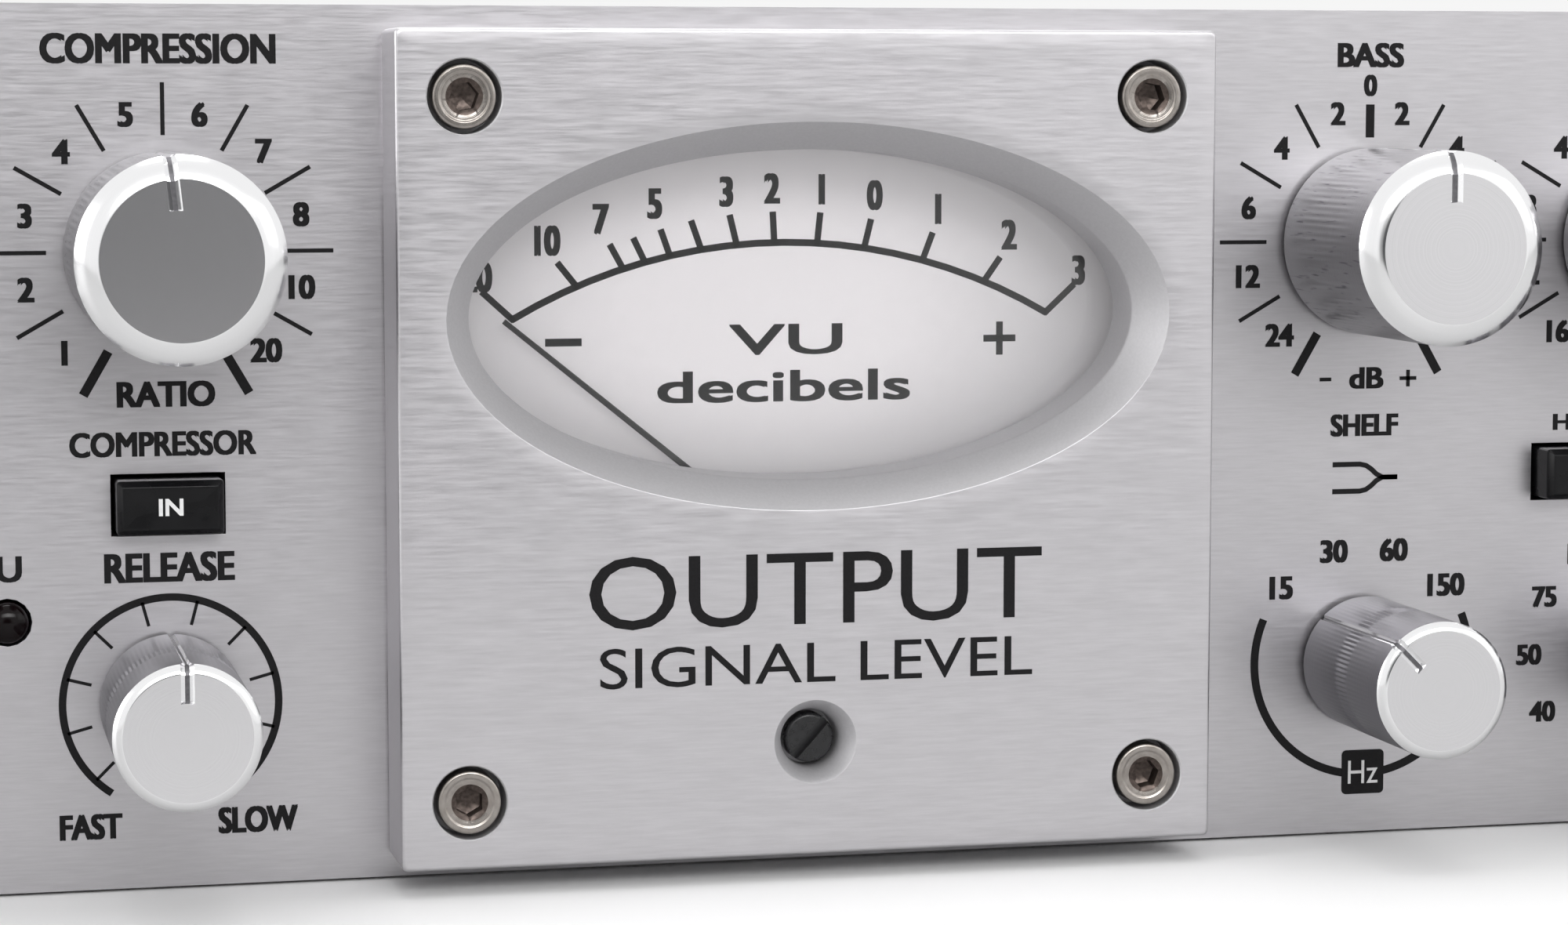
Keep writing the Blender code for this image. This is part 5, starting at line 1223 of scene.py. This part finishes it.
flange_screws = [flange_screw(-9.9 * MM, 12.2 * MM), flange_screw(9.9 * MM, -12.2 * MM)]
shell_back = -24 * MM
for name in ("microphone_input", "line_input"):
    x, z = middle(name)
    shell = softened([(9.6 * MM, -9.7 * MM), (9.6 * MM, FLANGE), (BARREL, FLANGE),
                      (BARREL, shell_back), (0, shell_back)],
                     [0.35 * MM, 0.3 * MM, 0.6 * MM], 5)
    insert = softened([(0, FLANGE - 0.4 * MM), (7.4 * MM, FLANGE - 0.4 * MM), (7.4 * MM, -9.7 * MM),
                       (9.6 * MM, -9.7 * MM)],
                      [0.6 * MM, 0.1 * MM], 5)
    forms = [flange_form(), (*lathe(shell, 72), 0), (*lathe(insert, 72), 2)] + flange_screws
    sleeve = [(0, FLANGE - 5 * MM), (1.15 * MM, FLANGE - 5 * MM), (1.15 * MM, FLANGE - 0.3 * MM),
              (1.6 * MM, FLANGE - 0.3 * MM), (1.6 * MM, FLANGE - 6 * MM), (0, FLANGE - 6 * MM)]
    forms += [contact(turn, CONTACT_RING, sleeve, 3) for turn in (0, 90, 180)]
    make_piece(name + "_socket", forms, rear_place(x, REAR_FACE, z),
               [black_shell, nickel_plate, grained_abs, gold_contact], stands_for=[name])

output_x, output_z = middle("balanced_output")
shell = softened([(0, FLANGE - 15 * MM), (9.6 * MM, FLANGE - 15 * MM), (9.6 * MM, FLANGE), (BARREL, FLANGE),
                  (BARREL, shell_back), (0, shell_back)], [0.3 * MM, 0.35 * MM, 0.3 * MM, 0.6 * MM], 5)
pin = softened([(0, FLANGE - 1.6 * MM), (1.2 * MM, FLANGE - 1.6 * MM), (1.2 * MM, FLANGE - 15.4 * MM),
                (0, FLANGE - 15.4 * MM)],
               [0.9 * MM, 0], 6)
make_piece("balanced_output_plug", [flange_form(), (*lathe(shell, 72), 0)] + flange_screws
           + [contact(turn, CONTACT_RING, pin, 3) for turn in (0, -90, 180)],
           rear_place(output_x, REAR_FACE, output_z),
           [black_shell, nickel_plate, grained_abs, gold_contact], stands_for=["balanced_output"])

broken_edges("mains_inlet", 0.3 * MM, grained_abs)

# Power rocker: two faces that meet in a shallow valley, lofted along its length.
rocker_joint = next(j for j in frame["joints"] if j["name"] == "power_rocker_tilt")
axle = rocker_joint["pos_m"]
TILT = math.radians(-8)
run = np.linspace(-9.5, 9.5, 25) * MM
crown = 1.2 * MM + 1.15 * MM * (np.abs(run) / (9.5 * MM)) ** 1.4
top_line = np.stack([run, crown], -1)
side_line = mm((8.4, -4.9), (-8.4, -4.9))
section = np.concatenate([top_line, side_line])
core = section.mean(0)
rows = []
for across, shrink in ((-5.7, 0.0), (-5.7, 0.97), (-5.4, 1.0), (5.4, 1.0), (5.7, 0.97), (5.7, 0.0)):
    ring = core + (section - core) * shrink
    rows.append(np.column_stack([np.full(len(ring), across * MM), ring]))
points = np.concatenate(rows)
c, s = math.cos(TILT), math.sin(TILT)
across, along, out = points.T
tilted = np.stack([-across, along * c + out * s, out * c - along * s], -1)
make_piece("power_rocker_moulded", [(tilted, grid_faces(len(rows), len(section)), 0)],
           rear_place(axle[0], axle[1], axle[2]), [glossy_abs], body="power_rocker",
           stands_for=["power_rocker"], crease=25)

# Fuse cap: a fluted black cap with a driver slot.
fuse_x, fuse_z = middle("fuse_holder")
cap_rows = softened(mm((0, 5.2), (5.4, 5.2), (5.9, 6.3), (7.0, 5.6), (7.0, 0.3), (5.5, 0.3),
                       (5.5, -19.7), (0, -19.7)),
                    [0.2 * MM, 0.4 * MM, 0.5 * MM, 0.1 * MM, 0, 0.5 * MM], 5)
angle = np.arange(120) * math.tau / 120
fluted = ((cap_rows[:, 0] > 6.9 * MM) & (cap_rows[:, 1] < 5.5 * MM))[:, None]
waist = 1 - 0.035 * fluted * (0.5 - 0.5 * np.cos(24 * angle))
make_piece("fuse_holder_cap", [(*lathe(cap_rows, 120, waist), 0)],
           rear_place(fuse_x, REAR_FACE, fuse_z), [grained_abs],
           stands_for=["fuse_holder"])

# Rear markings in white on the dark coat.
white_print, tree, shader = finish("white_screen_ink", "E9E9E7", 0.0, 0.5, ior=1.5)
mottle(tree, shader, 3500.0, "DCDCDA", "F2F2F0", space="Object")
rear_words = []
for node_name, text, width in (("microphone_input", "MIC", 8), ("line_input", "LINE", 9),
                               ("balanced_output", "OUTPUT", 15), ("fuse_holder", "FUSE", 9)):
    points, faces = letters(text, -middle(node_name)[0], 64.5 * MM, 3.0 * MM, width * MM, 0.02)
    rear_words.append((points, faces, 0))
make_piece("rear_markings", rear_words, rear_place(0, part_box("rear_panel")[1].y, 0), [white_print], crease=20)

# ---------------------------------------------------------------------------------------------
# Control boards: green glass-fibre boards behind the panel. Each carries the potentiometers,
# in zinc-plated cans, and the black push switches of its side.
# ---------------------------------------------------------------------------------------------

# Solder mask over glass weave and copper: deep green, glossy, with paler tracks under it.
green_mask, tree, shader = finish("green_solder_mask", "0E4A2A", 0.0, 0.28, ior=1.5)
place = node(tree, "ShaderNodeTexCoord").outputs["Object"]
TRACK_PITCH = 2.54 * MM
tracks = node(tree, "ShaderNodeTexBrick", {
    "Vector": place,
    "Color1": colour("0C4426"), "Color2": colour("156038"), "Mortar": colour("1D7344"),
    "Scale": 1 / (4 * TRACK_PITCH), "Mortar Size": 0.05, "Brick Width": 2.5, "Row Height": 0.5})
tree.links.new(tracks.outputs[0], shader.inputs["Base Color"])
weave = node(tree, "ShaderNodeTexNoise", {"Vector": place, "Scale": 1 / (0.8 * MM), "Detail": 1.0}).outputs[0]
tree.links.new(node(tree, "ShaderNodeBump", {"Height": weave, "Strength": 0.2, "Distance": 0.02 * MM}
                    ).outputs[0], shader.inputs["Normal"])

# Zinc plate on pressed steel: pale grey metal, cloudy.
zinc_plate, tree, shader = finish("zinc_plated_steel", "B4B6B8", 1.0, 0.38)
mottle(tree, shader, 220.0, "A3A6A9", "C4C6C8", detail=3.0, space="Object")

BOARD = 1.6 * MM
SWITCH_SETBACK = 12.6 * MM     # from a button's face at rest, clear of its cap at full travel
CAN = mm((3.4, -6.9), (3.4, 0), (6.1, 0), (6.4, -0.3), (6.4, -3.4), (6.2, -3.6), (6.2, -4.4),
         (6.5, -4.6), (6.5, -8.7), (0, -8.7), (0, -6.9), (3.4, -6.9))


def switch_form(front, stem_half, bore_depth, rear):
    """A rounded box lofted into a square bore in its front, closed at both ends."""
    outer = outline(5.0 * MM, 3.5 * MM, 0.4 * MM, 4)
    inner = outline(stem_half, stem_half, 0.05 * MM, 4)
    rows = [(outer * 0, rear), (outer, rear), (outer, front - 0.2 * MM), (outer * 0.96, front),
            (inner, front), (inner, front - bore_depth), (inner * 0, front - bore_depth)]
    return rings_at(rows), grid_faces(len(rows), len(outer))


def board_form(width, height, thickness):
    """A board with small round corners, its top at local z = 0."""
    return block(width / 2, height / 2, 1.0 * MM, [(0, 0), (0, -thickness)])


for name in ("left_control_board", "right_control_board"):
    low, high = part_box(name)
    centre_x, centre_z = middle(name)
    points, faces = board_form(high.x - low.x, high.z - low.z, BOARD)
    forms = [(points + (0, 0, low.y - high.y + BOARD), faces, 0)]
    for x, _, z in turning.values():
        if low.x < x < high.x:
            points, faces = lathe(CAN, 40)
            forms.append((points + (x - centre_x, z - centre_z, 0), faces, 1))
    for button in buttons:
        x, z = middle(button)
        if low.x < x < high.x:
            front = low.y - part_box(button)[0].y - SWITCH_SETBACK
            points, faces = switch_form(front, 1.8 * MM, 5.2 * MM, low.y - high.y + BOARD)
            forms.append((points + (x - centre_x, z - centre_z, 0), faces, 2))
    board = make_piece(name + "_populated", forms, front_place(centre_x, low.y, centre_z),
                       [green_mask, zinc_plate, grained_abs], stands_for=[name])
    clearings = []
    for other, radius in (("meter_mode_lamp", 3.2), ("instrument_jack", 7.8)):
        x, z = middle(other)
        if low.x < x < high.x:
            points, faces = lathe([(0, -6 * MM), (radius * MM, -6 * MM), (radius * MM, -14 * MM),
                                   (0, -14 * MM)], 40)
            clearings.append((points + (x - centre_x, z - centre_z, 0), faces, 0))
    if clearings:
        cut(board, clearings, front_place(centre_x, low.y, centre_z))

# ---------------------------------------------------------------------------------------------
# Main board on four standoffs: tube sockets along its front, sleeved capacitors and a finned
# heat sink behind them, and rows of resistors and film capacitors between.
# ---------------------------------------------------------------------------------------------


def moulded(name, light, dark, roughness, size):
    """A dull non-metal with a fine mottle between two near shades."""
    made, tree, shader = finish(name, light, 0.0, roughness, ior=1.5)
    mottle(tree, shader, 1 / size, dark, light, detail=3.0, relief=(0.2, 0.03 * MM), space="Object")
    return made


steatite = moulded("steatite_ceramic", "E8E4DA", "D8D2C4", 0.35, 0.8 * MM)  # glazed off-white ceramic
blue_sleeve = moulded("blue_pvc_sleeve", "1D3F7A", "16305E", 0.3, 3 * MM)  # shrunk sleeve on a can
black_anodised = moulded("black_anodised_aluminium", "1E1E20", "131314", 0.4, 2 * MM)  # dyed, satin
red_film = moulded("dipped_polyester_film", "8F2A1D", "6E1E15", 0.3, 1.5 * MM)  # glossy dipped coat
beige_carbon = moulded("beige_resistor_coat", "C9A878", "B5925F", 0.45, 0.7 * MM)  # matt lacquer

low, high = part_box("main_board")
BOARD_TOP = 11.4 * MM
board_x, board_y = (low.x + high.x) / 2, (low.y + high.y) / 2
tube_boxes = [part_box(f"vacuum_tube_{number}") for number in (1, 2, 3, 4)]
tube_places = [((a.x + b.x) / 2 - board_x, (a.y + b.y) / 2 - board_y) for a, b in tube_boxes]


def at(form, x, y, number):
    """A form moved over a board, with its material number."""
    return form[0] + (x, y, 0), form[1], number


forms = [(*board_form(high.x - low.x, high.y - low.y, BOARD), 0)]
post = np.array([(0, -BOARD), (3.0 * MM, -BOARD), (3.0 * MM, low.z - BOARD_TOP), (0, low.z - BOARD_TOP)])
six = np.ones(len(post))
reach_x, reach_y = (high.x - low.x) / 2 - 8 * MM, (high.y - low.y) / 2 - 8 * MM
for sx in (-1, 1):
    for sy in (-1, 1):
        forms.append(at(lathe(post, 36, hexagon(36, six)), sx * reach_x, sy * reach_y, 1))
        forms.append(at(lathe(softened([(0, 1.6 * MM), (2.6 * MM, 1.6 * MM), (2.6 * MM, 0)], 0.7 * MM), 28),
                        sx * reach_x, sy * reach_y, 1))
socket = softened(mm((0, 6.2), (5.0, 6.2), (5.4, 6.9), (10.2, 6.9), (10.2, 3.0), (8.6, 2.2), (8.6, 0)),
                  0.3 * MM, 4)
can = softened(mm((0, 39.3), (9.0, 39.3), (9.4, 39.9), (11.0, 39.9), (11.0, 4.2), (10.5, 3.6),
                  (11.0, 3.0), (11.0, 0)), 0.3 * MM, 4)
can_top = mm((0, 39.5), (9.2, 39.5))
for x, y in tube_places:
    forms.append(at(lathe(socket, 48), x, y, 2))
for column in range(4):
    x = (column - 1.5) * 30 * MM
    forms.append(at(lathe(can, 48), x, 55 * MM, 3))
    forms.append(at(lathe(can_top, 48), x, 55 * MM, 1))

# Heat sink: a back wall with fins, one closed section carried up.
SINK_HEIGHT = 35 * MM
fin_edges = []
for fin in range(9):
    y = (fin - 4) * 7.2 * MM
    fin_edges += [(-3.5 * MM, y - 0.9 * MM), (6.0 * MM, y - 0.6 * MM), (6.0 * MM, y + 0.6 * MM),
                  (-3.5 * MM, y + 0.9 * MM)]
section = np.array([(-6 * MM, -30 * MM)] + fin_edges + [(-6 * MM, 30 * MM)])
rows = rings_at([(section, 0), (section, SINK_HEIGHT)])
lid = np.arange(len(section))
sink_faces = ([tuple(face) for face in grid_faces(2, len(section)).tolist()]
              + [tuple(lid), tuple(lid + len(section))])
forms.append((rows + (120 * MM, 55 * MM, 0), sink_faces, 4))

# Small parts in rows: resistors lie down, film capacitors stand up.
resistor = softened(mm((0, 3.3), (1.1, 3.3), (1.3, 2.3), (1.05, 1.3), (1.05, -1.3), (1.3, -2.3),
                       (1.1, -3.3), (0, -3.3)), 0.3 * MM, 3)
points, faces = lathe(resistor, 12)
lying = points[:, [0, 2, 1]] + (0, 0, 1.3 * MM)
rng = np.random.default_rng(4)
for row, y in enumerate((-78, -24, -12, 2, 14, 26)):
    for column in range(22):
        x = (column - 10.5) * 12 * MM
        kind = rng.random()
        if kind < 0.55:
            forms.append((lying + (x, y * MM, 0), faces, 6))
        elif kind < 0.85:
            film_cap = block(3.6 * MM, 1.4 * MM, 1.0 * MM,
                             [(0.5 * MM, 8 * MM), (0, 7.2 * MM), (0, 1.2 * MM), (0.8 * MM, 0)])
            forms.append((film_cap[0] + (x, y * MM, 0), film_cap[1], 5))
make_piece("main_board_populated", forms, standing(board_x, board_y, BOARD_TOP),
           [green_mask, zinc_plate, steatite, blue_sleeve, black_anodised, red_film, beige_carbon],
           stands_for=["main_board"])

# ---------------------------------------------------------------------------------------------
# Vacuum tubes: thin blown glass with a drawn tip, over a nickel anode box between two mica
# discs, with a silvery getter patch inside the top.
# ---------------------------------------------------------------------------------------------

# Blown glass: clear, colourless, with very slight waves.
blown_glass, tree, shader = finish("blown_tube_glass", "F4F7F6", 0.0, 0.03, ior=1.5, transmission_weight=1.0)
wave = node(tree, "ShaderNodeTexNoise", {
    "Vector": node(tree, "ShaderNodeAttribute", attribute_name="local").outputs["Vector"],
    "Scale": 120.0}).outputs[0]
tree.links.new(node(tree, "ShaderNodeBump", {"Height": wave, "Strength": 0.1, "Distance": 0.2 * MM}
                    ).outputs[0], shader.inputs["Normal"])
getter_silver = turned_aluminium("getter_flash", "8E8B88", "55524F", 0.18, 0.001 * MM)
anode_nickel = turned_aluminium("carbonised_anode_nickel", "5B5B5E", "434346", 0.5, 0.004 * MM)
mica = moulded("mica_sheet", "D9D2C2", "C6BDA8", 0.3, 1.2 * MM)  # pale, slightly pearly

for number, (low, high) in enumerate(tube_boxes, start=1):
    radius = (high.x - low.x) / 2
    top = high.z - low.z
    arch = np.linspace(0, math.pi / 2, 10)
    shoulder = np.stack([radius * np.sin(arch), top - 8 * MM + 6 * MM * np.cos(arch)], -1)[2:]
    outer = np.concatenate([[(0, top), (1.1 * MM, top - 0.7 * MM), (1.5 * MM, top - 1.9 * MM)], shoulder,
                            [(radius, 0.8 * MM), (radius - 0.8 * MM, 0), (0, 0)]])
    inner = np.concatenate([[(0, top - 3.2 * MM)], shoulder * (0.93, 1) - (0, 1 * MM),
                            [(radius * 0.93, 2 * MM), (0, 2 * MM)]])
    anode = block(5.2 * MM, 3.1 * MM, 1.2 * MM,
                  [(0.3 * MM, 34 * MM), (0, 33.4 * MM), (0, 11.6 * MM), (0.3 * MM, 11 * MM)])
    discs = [(*lathe([(0, z + 0.3 * MM), (8.6 * MM, z + 0.3 * MM), (8.6 * MM, z), (0, z)], 40), 2)
             for z in (10 * MM, 34.6 * MM)]
    getter = np.stack([radius * 0.9 * np.sin(arch), top - 8.6 * MM + 5 * MM * np.cos(arch)], -1)[:8]
    pins = [contact(turn * 36, 5.2 * MM,
                    np.array([(0, 9 * MM), (0.5 * MM, 9 * MM), (0.5 * MM, 1 * MM), (0, 1 * MM)]), 1)
            for turn in range(9)]
    make_piece(f"vacuum_tube_{number}_glass", [(*lathe(outer, 48), 0), (*lathe(inner, 48), 0), (*anode, 1)]
               + discs
               + [(*lathe(getter, 40), 3)] + pins,
               standing((low.x + high.x) / 2, (low.y + high.y) / 2, low.z),
               [blown_glass, anode_nickel, mica, getter_silver], stands_for=[f"vacuum_tube_{number}"])

# ---------------------------------------------------------------------------------------------
# Mains transformer: a toroid wound over with yellow polyester tape, held to the tray by a dished
# steel disc and one bolt.
# ---------------------------------------------------------------------------------------------

# Polyester tape: amber yellow, glossy, each turn half over the last, so it shows as radial bands.
polyester_tape, tree, shader = finish("polyester_tape", "C99A22", 0.0, 0.22, ior=1.57)
turn_place = node(tree, "ShaderNodeSeparateXYZ", {
    0: node(tree, "ShaderNodeAttribute", attribute_name="local").outputs["Vector"]})
bearing = node(tree, "ShaderNodeMath", {0: turn_place.outputs["Y"], 1: turn_place.outputs["X"]},
               operation="ARCTAN2")
TAPE_TURNS = 56
wraps = node(tree, "ShaderNodeMath", {
    0: node(tree, "ShaderNodeMath", {0: bearing.outputs[0], 1: TAPE_TURNS / math.tau},
            operation="MULTIPLY").outputs[0]},
    operation="FRACT").outputs[0]
tree.links.new(node(tree, "ShaderNodeMix", {0: wraps, 6: colour("A87C16"), 7: colour("DDB23A")},
                    data_type="RGBA").outputs[2], shader.inputs["Base Color"])
low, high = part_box("toroidal_transformer")
outer, hole, height = (high.x - low.x) / 2, 16 * MM, high.z - low.z
winding = softened([(hole, height / 2), (hole, height), (outer, height), (outer, 0), (hole, 0),
                    (hole, height / 2)], 10 * MM, 8)
columns = TAPE_TURNS * 6
step = np.mod(np.arange(columns) / 6, 1.0)
lap = 1 - 0.006 * (1 - step)[None, :] * (winding[:, :1] > (outer + hole) / 2)
make_piece("toroidal_transformer_taped", [(*lathe(winding, columns, lap), 0)],
           standing((low.x + high.x) / 2, (low.y + high.y) / 2, low.z), [polyester_tape],
           stands_for=["toroidal_transformer"])

low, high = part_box("transformer_clamp")
top = high.z - low.z
plate_top = top - 4 * MM
disc = softened([(6.0 * MM, plate_top), (24 * MM, plate_top), (28 * MM, plate_top - 0.6 * MM),
                 (28 * MM, plate_top - 2 * MM), (4 * MM, plate_top - 2 * MM), (4 * MM, 0), (0, 0)],
                [1 * MM, 0.5 * MM, 0.2 * MM, 0.5 * MM, 0.5 * MM], 5)
head = np.array([(0, top), (4.9 * MM, top), (5.6 * MM, top - 0.5 * MM), (5.6 * MM, plate_top)])
make_piece("transformer_clamp_pressed",
           [(*lathe(disc, 72), 0), (*lathe(head, 48, hexagon(48, np.array([0, 0, 1.0, 1.0]))), 1)],
           standing((low.x + high.x) / 2, (low.y + high.y) / 2, low.z), [zinc_plate, black_oxide],
           stands_for=["transformer_clamp"])
